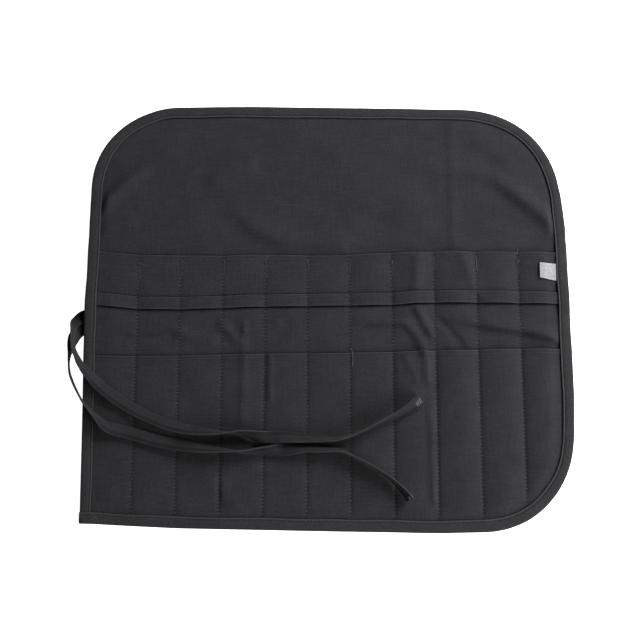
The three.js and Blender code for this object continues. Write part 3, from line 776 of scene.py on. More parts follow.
        # Area that a round corner leaves out, as a share of its radius squared
        corner = 1 - math.pi / 4
        lost = corner * (c.bottom_right - c.inset) ** 2
        lost_top = corner * ((c.top_left - c.inset) ** 2 + (c.top_right - c.inset) ** 2)
        wide, foot = c.width - 2 * c.inset, c.height / 2 - c.inset
        for piece, node, long, missing, rests in (
            (panel, "back_panel", 2 * foot, lost + lost_top, "edge_binding_tape"),
            (tall_piece, "tall_pocket", tall + foot, lost, "back_panel_cloth"),
            (short_piece, "short_pocket", short + foot, lost, "tall_pocket_cloth"),
            (self.band(), "loop_band", c.band_width, 0.0, "tall_pocket_cloth"),
        ):
            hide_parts(node)
            finish_piece(piece, material)


@dataclass
class EdgeBinding:
    """Tape folded over the whole edge, sewn on the front close to its inner fold.

    It starts at the square corner, runs anticlockwise, and comes down the left side until its end
    slips under the start.
    """

    skins: Skins = field(default_factory=Skins)
    step: float = 3.0
    stitch_line: float = 9.1
    end_level: float = 7.5
    # Where the start lies over the end: its rise, how far in from the left edge it is full, its slope
    overlap_rise: float = 1.15
    overlap_full: float = 12.0
    overlap_slope: float = 8.0
    # Length of the end that lies under the start, and the section's row at which the upper lip ends
    tucked: float = 4.5
    lip_end: int = 21

    def path(self) -> dict[str, Array]:
        """Stations round the outer edge: four straight runs joined by three quarter circles.

        Returns:
            Arrays u and v on the edge, in_u and in_v straight in, and s along the edge.
        """
        c = self.skins.cut
        right, top = c.width / 2, c.height / 2
        low, high, left = c.bottom_right, c.top_right, c.top_left
        end = (-right, self.end_level - top)
        rows = [
            self.straight((-right, -top), (right - low, -top), (0, 1)),
            self.corner((right - low, low - top), low, -90),
            self.straight((right, low - top), (right, top - high), (-1, 0)),
            self.corner((right - high, top - high), high, 0),
            self.straight((right - high, top), (left - right, top), (0, -1)),
            self.corner((left - right, top - left), left, 90),
            self.straight((-right, top - left), end, (1, 0)),
            [[*end, 1, 0]],
        ]
        u, v, in_u, in_v = np.vstack(rows).T
        s = np.append(0, np.cumsum(np.hypot(np.diff(u), np.diff(v))))
        return {"u": u, "v": v, "in_u": in_u, "in_v": in_v, "s": s}

    def straight(self, start: tuple, end: tuple, inward: tuple) -> Array:
        """Rows (u, v, in_u, in_v) of a straight run, without its end."""
        start, end = np.array(start, float), np.array(end, float)
        count = max(int(np.hypot(*(end - start)) / self.step), 1)
        part = np.arange(count)[:, None] / count
        return np.hstack([start + (end - start) * part, np.tile(np.array(inward, float), (count, 1))])

    def corner(self, centre: tuple, radius: float, from_deg: float) -> Array:
        """Rows (u, v, in_u, in_v) of a quarter circle, without its end."""
        count = int(radius * math.pi / 2 / self.step)
        angle = np.radians(from_deg + 90 * np.arange(count) / count)
        out = np.stack([np.cos(angle), np.sin(angle)], 1)
        return np.hstack([np.array(centre) + radius * out, -out])

    def section(self) -> Array:
        """Rows (inward, on top, rise) of the tape's U, from its lower inner end round the outer edge."""
        width, line = self.skins.cut.binding, self.stitch_line
        lower = ((width, 0.0), (6.0, 0.0), (1.3, 0.0), (0.5, 0.3), (0.08, 0.85))
        upper = ((0.0, -1.3), (0.15, -0.9), (0.6, -0.5), (1.4, -0.2), (2.8, 0.02), (4.5, 0.1), (6.6, 0.08))
        seam = ((-0.8, 0.0), (-0.35, -0.22), (0, -0.42), (0.35, -0.22), (0.7, 0.0), (1.1, 0.06))
        lip = ((0.45, 0.0), (0.15, -0.18), (0, -0.5), (0.2, -0.85), (0.6, -1.0))
        upper += tuple((line + d, rise) for d, rise in seam) + tuple((width - d, rise) for d, rise in lip)
        upper += ((6.0, -1.0), (1.3, -1.0), (1.1, -1.25))
        inner = ((1.1, 1.25), (1.3, 1.0), (6.0, 1.0), (width, 1.0))
        sides = ((lower, 0), (upper, 1), (inner, 0))
        return np.array([(inward, on_top, rise) for rows, on_top in sides for inward, rise in rows])

    def top_rise(self, u: Array, s: Array, length: float) -> Array:
        """Extra height of the top: where the start lies over the end, and faint waves along it."""
        over = np.clip(1 - (u + self.skins.cut.width / 2 - self.overlap_full) / self.overlap_slope, 0, 1)
        over = self.overlap_rise * over * over * (3 - 2 * over) * (s < length / 4)
        wave = 0.06 * np.sin(s / 7.3 + np.sin(s / 31)) + 0.05 * np.sin(s / 2.9)
        return over + wave

    def build(self, material: Material) -> None:
        """Carries the section round the edge, in place of the plain binding."""
        cut, path = self.skins.cut, self.path()
        inward, on_top, rise = self.section().T
        length = path["s"][-1]
        s = path["s"][:, None]
        lip = 1 + 0.025 * np.sin(s / 11 + 1.3 * np.sin(s / 37))
        depth = np.where(inward > 4, inward * lip, inward)
        su = path["u"][:, None] + path["in_u"][:, None] * depth
        sv = path["v"][:, None] + path["in_v"][:, None] * depth
        low = self.skins.tie_lift(su, sv)
        z = np.where(on_top > 0, self.skins.binding_top(su, sv) + self.top_rise(su, s, length), low) + rise
        under_start = (on_top == 0) & (s >= length - self.tucked)
        z = np.maximum(np.where(under_start, z + cut.binding_thick + 0.1, z), low)
        across = np.cumsum(np.append(0, np.hypot(np.diff(inward), np.diff(rise))))
        uv = points_of(s, across, 0.0)[:, :2] * MM
        # Worn inner ridge and outer fold of the binding, painted lighter as a highlight
        worn_and_lit = 0.9 * bell(inward - cut.binding + 1.0, 0.8) * (on_top > 0) * (rise > -0.4)
        worn_and_lit = worn_and_lit + 0.3 * bell(inward - 0.5, 0.5) * on_top
        # Painted shade in the stitch line's groove and on the lip's turned-under wall
        dark = 0.6 * bell(inward - self.stitch_line, 0.5) + 0.5 * (rise < -0.4) * (inward > 6)
        marks = points_of(np.zeros_like(su), 0.0, np.clip(dark, 0, 0.9) * on_top)
        points = points_of(*cut.placed(su, sv), z)
        quads = ring_quads(*su.shape)[:, ::-1]
        piece = link_mesh("edge_binding_tape", points, quads, uv, np.tile(worn_and_lit, len(s)), marks)
        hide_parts("edge_binding")
        finish_piece(piece, material)

    def stitch_places(self) -> Pair:
        """Real centres (n, 3) and directions (n, 3) of the stitches along the binding's inner fold."""
        path = self.path()
        length = path["s"][-1]
        s = np.arange(2.0, length - 3, self.skins.stitch)
        u, v, in_u, in_v = (np.interp(s, path["s"], path[name]) for name in ("u", "v", "in_u", "in_v"))
        su, sv = u + in_u * self.stitch_line, v + in_v * self.stitch_line
        z = self.skins.binding_top(su, sv) + self.top_rise(su, s, length) - 0.2
        centres = points_of(*self.skins.cut.placed(su, sv), z)
        return centres, unit(np.gradient(centres, axis=0))


class TieEnd(Enum):
    """How the free end of a tie shows its bartack."""

    ZIGZAG = "zigzag"
    EDGE = "edge"


# Turns of each bartack: nearest and farthest from the end, number, and places of the even and odd ones
BARTACKS = {TieEnd.ZIGZAG: (0.8, 7.4, 8, -3.8, 3.6), TieEnd.EDGE: (0.7, 3.4, 6, 4.3, 0.8)}

# Routes of the ties along their middle line, root first: x and y in metres, the roll in degrees
# (0 flat, -90 on edge, -180 flat with the other face up) and how far it is held up, in metres.
UPPER_ROUTE = (
    (-0.2070, -0.0043, 0, 0),
    (-0.2170, -0.0044, 0, 0),
    (-0.2255, -0.0046, 0, 0),
    (-0.2303, -0.0070, 0, 0),
    (-0.2326, -0.0122, -50, 0.0020),
    (-0.2332, -0.0156, -80, 0.0050),
    (-0.2334, -0.0230, -88, 0.0078),
    (-0.2334, -0.0304, -88, 0.0078),
    (-0.2323, -0.0384, -86, 0.0055),
    (-0.2287, -0.0463, -80, 0.0020),
    (-0.2231, -0.0546, -65, 0),
    (-0.2157, -0.0630, -42, 0),
    (-0.2077, -0.0714, -27, 0),
    (-0.1966, -0.0801, -20, 0),
    (-0.1817, -0.0896, -20, 0),
    (-0.1650, -0.0982, -22, 0),
    (-0.1466, -0.1056, -27, 0),
    (-0.1281, -0.1105, -38, 0),
    (-0.1099, -0.1127, -58, 0),
    (-0.0936, -0.1134, -82, 0),
    (-0.0791, -0.1135, -102, 0),
    (-0.0683, -0.1157, -132, 0.0003),
    (-0.0575, -0.1177, -162, 0.0022),
    (-0.0430, -0.1174, -204, 0.0026),
    (-0.0250, -0.1182, -226, 0.0008),
    (-0.0052, -0.1187, -234, 0),
    (0.0128, -0.1188, -262, 0),
    (0.0300, -0.1132, -275, 0),
    (0.0472, -0.1049, -282, 0),
    (0.0626, -0.0981, -298, 0),
    (0.0754, -0.0905, -318, 0),
    (0.0850, -0.0831, -342, 0),
)
LOWER_ROUTE = (
    (-0.2070, -0.0161, 0, 0),
    (-0.2170, -0.0162, 0, 0),
    (-0.2255, -0.0166, 0, 0),
    (-0.2305, -0.0186, 0, 0),
    (-0.2340, -0.0242, -28, 0),
    (-0.2361, -0.0320, -62, 0),
    (-0.2374, -0.0399, -95, 0),
    (-0.2381, -0.0487, -106, 0),
    (-0.2372, -0.0580, -107, 0),
    (-0.2341, -0.0667, -106, 0),
    (-0.2289, -0.0763, -103, 0),
    (-0.2213, -0.0865, -98, 0),
    (-0.2147, -0.0941, -86, 0),
    (-0.2078, -0.1011, -72, 0),
    (-0.2018, -0.1065, -46, 0),
    (-0.1947, -0.1099, -16, 0),
    (-0.1846, -0.1125, -8, 0),
    (-0.1701, -0.1166, -10, 0),
    (-0.1517, -0.1213, -14, 0),
    (-0.1334, -0.1247, -24, 0),
    (-0.1168, -0.1269, -42, 0),
    (-0.1023, -0.1286, -62, 0),
    (-0.0879, -0.1299, -82, 0),
    (-0.0753, -0.1303, -97, 0),
    (-0.0627, -0.1299, -115, 0),
    (-0.0502, -0.1296, -140, 0),
    (-0.0358, -0.1283, -204, 0),
    (-0.0196, -0.1271, -226, 0),
    (-0.0025, -0.1276, -232, 0),
    (0.0119, -0.1290, -250, 0),
    (0.0226, -0.1339, -266, 0),
    (0.0369, -0.1415, -272, 0),
    (0.0511, -0.1508, -278, 0),
    (0.0635, -0.1609, -288, 0),
    (0.0734, -0.1731, -303, 0),
)


def smoothed(values: Array, reach: float) -> Array:
    """Running average with a bell of weights, the ends held."""
    span = int(3 * reach)
    weights = np.exp(-((np.arange(-span, span + 1) / reach) ** 2) / 2)
    padded = np.pad(values, span, mode="edge")
    return np.convolve(padded, weights / weights.sum(), mode="valid")


@dataclass
class TapeTie:
    """One tie: a folded and edge-stitched tape that leaves under the left edge and lies loose."""

    name: str
    node: str
    route: tuple
    end: TieEnd
    exit: tuple
    skins: Skins = field(default_factory=Skins)
    width: float = 11.5
    thick: float = 1.9
    clearance: float = 0.6
    step: float = 1.5
    # Distances from the sewn edge of the row of stitches and of a second line of painted shade, and the stitches'
    # groove
    stitch_line: float = 1.7
    second_line: float = 2.9
    groove_depth: float = 0.26
    groove_reach: float = 0.42
    # Length from the root that is darkened with painted shadow of the bound edge, how dark, and its fading
    shaded: float = 37.0
    shade: float = 0.93
    shade_fade: float = 10.0
    # Where along the tape the painted shade lines along its stitches begin to show, and over what length
    lines_from: float = 62.0
    lines_fade: float = 15.0
    # Where along the tape the stitches begin, and their spacing
    stitches_from: float = 16.0
    stitch: float = 2.7
    # Room under the root
    root_gap: float = 0.1
    # How many of the route's first spans lie under or beside the bound edge
    root_spans: int = 3

    def curve(self) -> tuple[Array, Array, Array, Array, Array]:
        """Centripetal Catmull-Rom curve through the route, cut at equal lengths.

        Each stretch is a cubic whose end slopes come from its neighbours, the knots a square root
        of the distance apart.

        Returns:
            Places (n, 2), directions (n, 2), roll in radians, hold-up and span of each step.
        """
        route = np.array(self.route, float)
        p = route[:, :2] / MM
        p = np.vstack([2 * p[0] - p[1], p, 2 * p[-1] - p[-2]])
        gaps = np.sqrt(np.hypot(*np.diff(p, axis=0).T))[:, None]
        d0, d1, d2 = gaps[:-2], gaps[1:-1], gaps[2:]
        p0, p1, p2, p3 = p[:-3], p[1:-2], p[2:-1], p[3:]
        m1 = d1 * ((p1 - p0) / d0 - (p2 - p0) / (d0 + d1) + (p2 - p1) / d1)
        m2 = d1 * ((p2 - p1) / d1 - (p3 - p1) / (d1 + d2) + (p3 - p2) / d2)
        count = len(route) - 1

        def at(g: Array) -> Array:
            """Points of the curve at row numbers with fractions."""
            k = np.minimum(g.astype(int), count - 1)
            t = (g - k)[:, None]
            cubic = 2 * p1[k] - 2 * p2[k] + m1[k] + m2[k]
            square = -3 * p1[k] + 3 * p2[k] - 2 * m1[k] - m2[k]
            return p1[k] + m1[k] * t + square * t**2 + cubic * t**3

        fine = np.linspace(0, count, count * 40 + 1)
        length = np.append(0, np.cumsum(np.hypot(*np.diff(at(fine), axis=0).T)))
        steps = int(round(length[-1] / self.step))
        g = np.interp(np.linspace(0, length[-1], steps + 1), length, fine)
        place = at(g)
        rows = np.arange(count + 1)
        roll = smoothed(np.radians(np.interp(g, rows, route[:, 2])), 3)
        return place, unit(np.gradient(place, axis=0)), roll, np.interp(g, rows, route[:, 3]) / MM, g

    def frames(self) -> tuple[Array, Array, Array, Array]:
        """Places of each step of the tape, and its ways across, through and along.

        The middle line's height is the least at which no part of the tape's width comes nearer to
        the cloth than the clearance, evened out along the tape.

        Returns:
            Four arrays of (n, 3).
        """
        place, heading, roll, over, span = self.curve()
        left = np.stack([-heading[:, 1], heading[:, 0], np.zeros(len(roll))], 1)
        up, cos, sin = np.array(UP), np.cos(roll)[:, None], np.sin(roll)[:, None]
        across, through = left * cos + up * sin, up * cos - left * sin
        need = np.zeros(len(roll))
        for share in np.linspace(-0.55, 0.55, 9):
            spot = place + across[:, :2] * share * self.width
            ground = self.skins.real_top(spot[:, 0], spot[:, 1]) + self.clearance
            half = self.thick / 2 * np.abs(through[:, 2])
            need = np.maximum(need, ground + half - share * self.width * across[:, 2])
        flat = self.root_gap + self.thick / 2
        need = np.where(span < self.root_spans, flat, need)
        wide = np.max([np.roll(need, k) for k in range(-3, 4)], axis=0)
        wide[:3], wide[-3:] = need[:3], need[-3:]
        height = np.maximum(smoothed(wide, 3), need) + over
        rising = ramp(span - self.root_spans, 1.2)
        height = flat + (height - flat) * rising * rising * (3 - 2 * rising)
        middle = np.column_stack([place, height])
        return middle, across, through, unit(np.gradient(middle, axis=0))

    def section(self) -> Array:
        """Points (wide, thick) of the flattened tape, with its stitch grooves and open edge."""
        half = self.width / 2
        wide = half * np.array([-0.985, -0.94, -0.86, -0.76, -0.7, -0.64, -0.5, -0.2, 0.2, 0.55, 0.8, 0.92, 0.98])
        body = self.thick / 2 * (1 - np.abs(wide / half) ** 12) ** 0.5
        groove = self.groove_depth * bell(wide + half - self.stitch_line, self.groove_reach)
        upper = np.maximum(body - groove, 0.12)
        return np.array([*zip(wide, -upper), *list(zip(wide, upper))[::-1]])

    def build(self, material: Material, thread: Material) -> None:
        """Args:
            material: The tape's cloth.
            thread: The thread of the end's bartack.
        """
        frames, section = self.frames(), self.section()
        middle, across, through, _ = (rows[:, None] for rows in frames)
        count, (wide, deep) = len(middle), section.T
        s = np.arange(count)[:, None] * self.step
        ripple = 0.14 * np.sin(s / 5.1 + 2 * np.sin(s / 23)) + 0.05 * np.sin(s / 2.3)
        sideways = wide * (1 + 0.012 * np.sin(s / 9))
        raised = deep + ripple * (wide / 5) ** 2
        spots = (middle + across * sideways[..., None] + through * raised[..., None]).reshape(-1, 3)
        spots[:, 2] = np.maximum(spots[:, 2], 0.05)
        round_tape = np.cumsum(np.append(0, np.hypot(*np.diff(section, axis=0).T)))
        uv = points_of(s, round_tape, 0.0)[:, :2] * MM
        # Worn edges of the tape, painted lighter as a highlight
        wear_and_highlight = np.tile(ramp(np.abs(wide) / (self.width / 2) - 0.9, 0.1) * 0.8, count)
        inward = wide + self.width / 2
        # Painted shade along the stitch groove and along a second line beside it
        lines = 0.7 * bell(inward - self.stitch_line, 0.35) + 0.5 * bell(inward - self.second_line, 0.35)
        lines = lines * ramp(s - self.lines_from, self.lines_fade)
        # Painted shadow of the bound edge over the root
        shaded = self.shade * ramp(self.shaded - s, self.shade_fade)
        marks = points_of(bell(inward - self.stitch_line, 0.6), s, np.maximum(shaded, lines))
        piece = link_mesh(self.name, spots, ring_quads(count, len(section)), uv, wear_and_highlight, marks)
        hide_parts(self.node)
        seam = self.stitches(frames, s[-1, 0], material)
        tack = self.bartack([rows[-1] for rows in frames], thread)
        finish_piece(piece, material)

    def stitches(self, frames: tuple, length: float, thread: Material) -> Piece:
        """The edge stitches on both faces of the tape, each stitch lying in its groove."""
        at = np.arange(self.stitches_from, length - 4, self.stitch)
        s = np.arange(len(frames[0])) * self.step
        place, across, up, along = (np.stack([np.interp(at, s, way) for way in rows.T], 1) for rows in frames)
        line = place + across * (self.stitch_line - self.width / 2)
        sets = [(line + up * face * (self.thick / 2 - 0.2), along, up * face) for face in (1, -1)]
        return sew(self.name + "_stitches", *joined(sets), 1.1, 0.2, thread, "tie_tape")

    def bartack(self, last: list, thread: Material) -> Piece:
        """The dense zigzag that holds the turned-in free end, in pale thread.

        Args:
            last: The last step's place, and its ways across, through and along.
            thread: The thread's material.
        """
        place, across, up, along = last
        nearest, farthest, count, even, odd = BARTACKS[self.end]
        back = np.linspace(nearest, farthest, count)[:, None]
        wide = np.where(np.arange(count) % 2 == 0, even, odd)[:, None]
        face = 1 if up[2] >= 0 else -1
        spots = place - along * back + across * wide + up * face * (self.thick / 2 + 0.12)
        if self.end is TieEnd.EDGE:
            rim = place - along * back + across * (self.width / 2 + 0.05) * np.sign(across[2])
            spots = np.vstack([spots, rim])
        middle, step = (spots[:-1] + spots[1:]) / 2, np.diff(spots, axis=0)
        length = np.linalg.norm(step, axis=1)
        # The long step from the face to the rim carries no thread
        keep = length < 9
        name = self.name + "_bartack"
        return sew(name, middle[keep], unit(step[keep]), up * face, length[keep] / 2, 0.2, thread, "tie_tape")


def joined(sets: list) -> tuple:
    """Joins several sets of arrays: all the first ones, all the second ones, and so on."""
    return tuple(np.concatenate(parts) for parts in zip(*sets))


def sew(name: str, centres: Array, along: Array, up, half_length, radius: float, thread: Material, slot: str) -> Piece:
    """Lays one stitch at each centre: a short thread whose ends dip into the cloth.

    A stitch is a hexagonal tube of six rings. With t from -1 to 1 along it, its radius is
    radius * sqrt(1 - t ** 2 * 0.85) and its height falls by t ** 2 * 0.7 * radius.

    Args:
        name: The piece's name.
        centres: Array of (n, 3) middles, in millimetres.
        along: Array of (n, 3) unit directions.
        up: Array of (n, 3) or one vector, away from the cloth.
        half_length: Half a stitch's length, one for all or one each.
        radius: The thread's radius.
        thread: Its material.
        slot: Not used.

    Returns:
        The piece that holds all these stitches.
    """
    count = len(centres)
    side = np.cross(along, np.broadcast_to(np.asarray(up, float), centres.shape))
    side = side / np.maximum(np.linalg.norm(side, axis=1, keepdims=True), 1e-9)
    lifted = np.cross(side, along)
    t = np.array([-1.0, -0.75, -0.3, 0.3, 0.75, 1.0])
    angle = np.arange(6) * math.pi / 3
    girth = (radius * np.sqrt(1 - 0.85 * t**2))[:, None]
    half = np.broadcast_to(np.asarray(half_length, float), (count,))
    lengthwise = (half[:, None] * t)[..., None, None] * along[:, None, None]
    sideways = (girth * np.cos(angle))[..., None] * side[:, None, None]
    rise = (girth * np.sin(angle) - (0.7 * radius * t**2)[:, None])[..., None] * lifted[:, None, None]
    points = centres[:, None, None] + lengthwise + sideways + rise
    quads = repeated(ring_quads(len(t), len(angle))[:, ::-1], count, len(t) * len(angle))
    piece = link_mesh(name, points.reshape(-1, 3), quads)
    finish_piece(piece, thread)
    return piece


@dataclass
class Seams:
    """The visible stitching: dividers with their backtacks, hems, binding and the ties' roots."""

    skins: Skins = field(default_factory=Skins)
    half_stitch: float = 0.8
    radius: float = 0.48
    backtack: float = 13.0
    # Room that the dividers' stitches leave beside the edges of the layers they cross
    edge_room: float = 1.3
    hem_pitch: float = 2.6
    # How far below the tall mouth each divider starts, and how big its knot is
    starts: tuple = (
        *((6.5, 1.0), (2.5, 0.5), (3.0, 0.6), (5.5, 0.8), (4.0, 0.5)),
        *((3.0, 0.5), (7.0, 1.3), (4.5, 0.5), (3.5, 0.7), (6.5, 1.4)),
    )
    # Loose ends: divider, offset from it, level, way across and along, and bow
    strands: tuple = (
        (5, 1.2, -36.0, 0.6, -17.0, 0.9),
        (8, 0.9, 46.0, 0.4, -10.0, -0.5),
        (3, 0.4, 49.0, 1.1, 5.0, 0.6),
        (0, 1.0, 47.0, 2.8, -3.0, 0.8),
        (9, -0.5, 52.0, 0.6, 6.0, 0.5),
    )

    def on_cloth(self, u: Array, v: Array, sink) -> Pair:
        """Real centres and directions of stitches along a line of plan points.

        Args:
            u: Plan places in sewing order.
            v: The same, across.
            sink: How far the thread's middle lies below the cloth's face.

        Returns:
            Arrays of (n, 3) centres, and of directions along the cloth's face.
        """
        centres = points_of(*self.skins.cut.placed(u, v), self.skins.top(u, v))
        heading = unit(np.gradient(centres, axis=0))
        centres[:, 2] -= sink
        return centres, heading

    def dividers(self, thread: Material) -> None:
        """Rows of stitches down each divider, doubled over a short way at its top."""
        cut, pitch = self.skins.cut, self.skins.stitch
        crossed = [cut.band_bottom, cut.band_top, cut.short_mouth]
        sets = []
        for number, (u, (start, _)) in enumerate(zip(cut.dividers, self.starts)):
            top = math.floor((cut.tall_mouth - start) / pitch) * pitch
            v = np.arange(top, -cut.height / 2 + cut.binding + 1, -pitch)
            count = np.arange(len(v))
            wander = 0.15 * np.sin(v / 33 + number * 1.7) + 0.5 * (-1.0) ** count
            sink = 0.16 + 0.16 * np.sin(count * 2.4 + number)
            centres, heading = self.on_cloth(np.full_like(v, u) + wander, v, sink)
            keep = np.min(np.abs(v[:, None] - crossed), axis=1) > self.edge_room
            sets.append((centres[keep], self.level(heading[keep], (0, -1, 0))))
            v = np.arange(top - pitch / 2, top - self.backtack, -pitch)
            centres, heading = self.on_cloth(np.full_like(v, u + 0.9), v, 0.05)
            sets.append((centres, self.level(heading, (0.12, -1, 0))))
        sew("divider_stitches", *joined(sets), UP, self.half_stitch, self.radius, thread, "canvas")

    def level(self, heading: Array, way: tuple) -> Array:
        """Directions kept within a gentle slope of one way, so that no stitch stands up."""
        made = np.tile(unit(np.array([way], float)), (len(heading), 1))
        made[:, 2] = np.clip(heading[:, 2], -0.25, 0.25)
        return unit(made)

    def knots(self, thread: Material) -> None:
        """The knot at the top of each divider: a few short turns of thread laid across each other."""
        start, size = np.repeat(np.array(self.starts), 5, axis=0).T
        k = np.tile(np.arange(5), len(self.starts))
        turn = np.radians(35 + 70 * k)
        u = np.repeat(self.skins.cut.dividers, 5) + 0.7 * size * np.cos(turn * 1.7)
        v = self.skins.cut.tall_mouth - start - 1.5 + 0.9 * size * np.sin(turn)
        centres = self.on_cloth(u, v, -0.15 - 0.12 * k * size)[0]
        along = points_of(np.cos(turn), np.sin(turn), 0.0)
        sew("divider_knots", centres, along, UP, 0.9 * size + 0.3, 0.3, thread, "canvas")

    def hems(self, thread: Material) -> None:
        """Stitches along the hems of both pocket rows and along both edges of the band."""
        cut = self.skins.cut
        u = np.arange(-cut.side_seam + 2, cut.side_seam - 1, self.hem_pitch)
        rows = ((cut.short_mouth - 3.5, 0.02), (cut.tall_mouth - 3.5, 0.02))
        rows += ((cut.band_top - 1.6, 0.1), (cut.band_bottom + 1.6, 0.1))
        lines = [self.on_cloth(u, np.full_like(u, level), sink) for level, sink in rows]
        sew("hem_stitches", *joined(lines), UP, 1.0, 0.16, thread, "canvas")

    def edge(self, binding: EdgeBinding, thread: Material) -> None:
        """Stitches along the inner fold of the binding."""
        sew("binding_stitches", *binding.stitch_places(), UP, self.half_stitch, 0.2, thread, "binding_tape")

    def roots(self, thread: Material) -> None:
        """The bartack through the left binding that holds the roots of the ties."""
        v = np.arange(1.0, -19.0, -1.5)
        u = -self.skins.cut.side_seam - 0.9 + 0.7 * (np.arange(len(v)) % 2)
        sew("root_bartack", *self.on_cloth(u, v, -0.05), UP, 1.1, 0.24, thread, "binding_tape")

    def tails(self, thread: Material) -> None:
        """A few cut ends of thread, each a thin curved strand lying on the cloth."""
        cut = self.skins.cut
        t = np.linspace(0, 1, 9)
        angle = np.arange(6) * math.pi / 3
        ring = 0.15 * points_of(np.cos(angle), 0.0, np.sin(angle))
        points = []
        for divider, offset, level, way_u, way_v, bow in self.strands:
            u = cut.dividers[divider] + offset + way_u * t + bow * np.sin(np.pi * t)
            v = level + way_v * t
            z = np.maximum.accumulate(self.skins.top(u, v)[::-1])[::-1] + 0.3
            points.append((points_of(*cut.placed(u, v), z)[:, None] + ring).reshape(-1, 3))
        quads = repeated(ring_quads(len(t), len(angle)), len(points), len(t) * len(angle))
        finish_piece(link_mesh("thread_tails", np.concatenate(points), quads), thread)


@dataclass
class Label:
    """The small bare woven label, folded in half and caught in the seam at its right edge."""

    skins: Skins = field(default_factory=Skins)
    # Corners in real millimetres: lower left, lower right, upper right, upper left
    corners: tuple = ((198.5, 30.8), (214.4, 28.3), (214.6, 44.5), (198.8, 45.3))
    thick: float = 0.8
    clearance: float = 0.45
    lift: float = 1.1
    side: float = 16.0
    cells: int = 26
    stitches: int = 5
    stitch_inset: float = 1.0

    def build(self, material: Material, thread: Material) -> None:
        """A slab whose outline is spread between its four corners, its free edge standing off.

        Args:
            material: The label's cloth.
            thread: The thread at its sewn edge.
        """
        s = np.cos(np.pi * np.linspace(0, 1, self.cells + 1))
        s = 0.5 - 0.5 * s * (0.9 + 0.1 * s**2)
        a, b = np.meshgrid(s, s, indexing="ij")
        low_left, low_right, high_right, high_left = np.array(self.corners)
        lower = low_left + (low_right - low_left) * a[..., None]
        upper = high_left + (high_right - high_left) * a[..., None]
        x, y = np.moveaxis(lower + (upper - lower) * b[..., None], -1, 0)
        off = self.lift * (1 - a) ** 2 * (0.75 + 0.25 * np.cos(np.pi * b)) + 0.03 * np.sin(y * 9)
        away = np.minimum(np.minimum(a, 1 - a), np.minimum(b, 1 - b)) * self.side
        low = self.skins.real_top(x, y) + self.clearance + off
        low, high = rounded(low, low + self.thick, away, self.thick)
        # Worn rim of the label, painted lighter as a highlight
        piece = slab("label_cloth", x, y, low, high, np.clip(1 - away, 0, 1))
        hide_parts("label")
        t = (np.arange(self.stitches) + 0.5) / self.stitches
        x, y = (low_right + (high_right - low_right) * t[:, None] - (self.stitch_inset, 0)).T
        centres = points_of(x, y, self.skins.real_top(x, y) + self.clearance + self.thick)
        along = np.tile((0.0, 1.0, 0.0), (len(t), 1))
        held = sew("label_stitches", centres, along, UP, 1.2, 0.2, thread, "label_cloth")
        finish_piece(piece, material)


def plug(tree: Tree, node: Node, inputs: dict) -> None:
    """Links sockets to a node's inputs, or sets them to constants, by the inputs' names or numbers."""
    for name, value in inputs.items():
        if isinstance(value, Socket):
            tree.links.new(value, node.inputs[name])
        else:
            node.inputs[name].default_value = value


def add_node(tree: Tree, kind: str, inputs: dict | None = None, **values) -> Node:
    """Adds a node, sets its properties, and fills its inputs.

    Args:
        tree: The tree to add to.
        kind: The node's type name.
        inputs: Sockets and constants, as plug takes them.
        **values: Properties by name.

    Returns:
        The node.
    """
    node = tree.nodes.new(kind)
    for name, value in values.items():
        setattr(node, name, value)
    plug(tree, node, inputs or {})
    return node


def maths(tree: Tree, operation: str, *values) -> Socket:
    """Output of a Math node on sockets or numbers."""
    return add_node(tree, "ShaderNodeMath", dict(enumerate(values)), operation=operation).outputs[0]


def noise(tree: Tree, place: Socket, scale: float, detail: float) -> Socket:
    """Noise over a place, from 0 to 1."""
    return add_node(tree, "ShaderNodeTexNoise", {"Vector": place, "Scale": scale, "Detail": detail}).outputs[0]


def mix(tree: Tree, share, first, second, blend: str = "MIX") -> Socket:
    """Blend of two colours, each a socket or a constant."""
    inputs = {0: share, 6: first, 7: second}
    return add_node(tree, "ShaderNodeMix", inputs, data_type="RGBA", blend_type=blend).outputs[2]


def choice(tree: Tree, share: Socket, first, second) -> Socket:
    """The first value where the share is 0, the second where it is 1."""
    return add_node(tree, "ShaderNodeMix", {0: share, 2: first, 3: second}, data_type="FLOAT").outputs[0]


def new_material(name: str, inputs: dict) -> tuple[Material, Tree, Node]:
    """A new material, its tree, and its shader with some inputs set."""
    made = bpy.data.materials.new(name)
    made.use_nodes = True
    shader = made.node_tree.nodes["Principled BSDF"]
    plug(made.node_tree, shader, inputs)
    return made, made.node_tree, shader


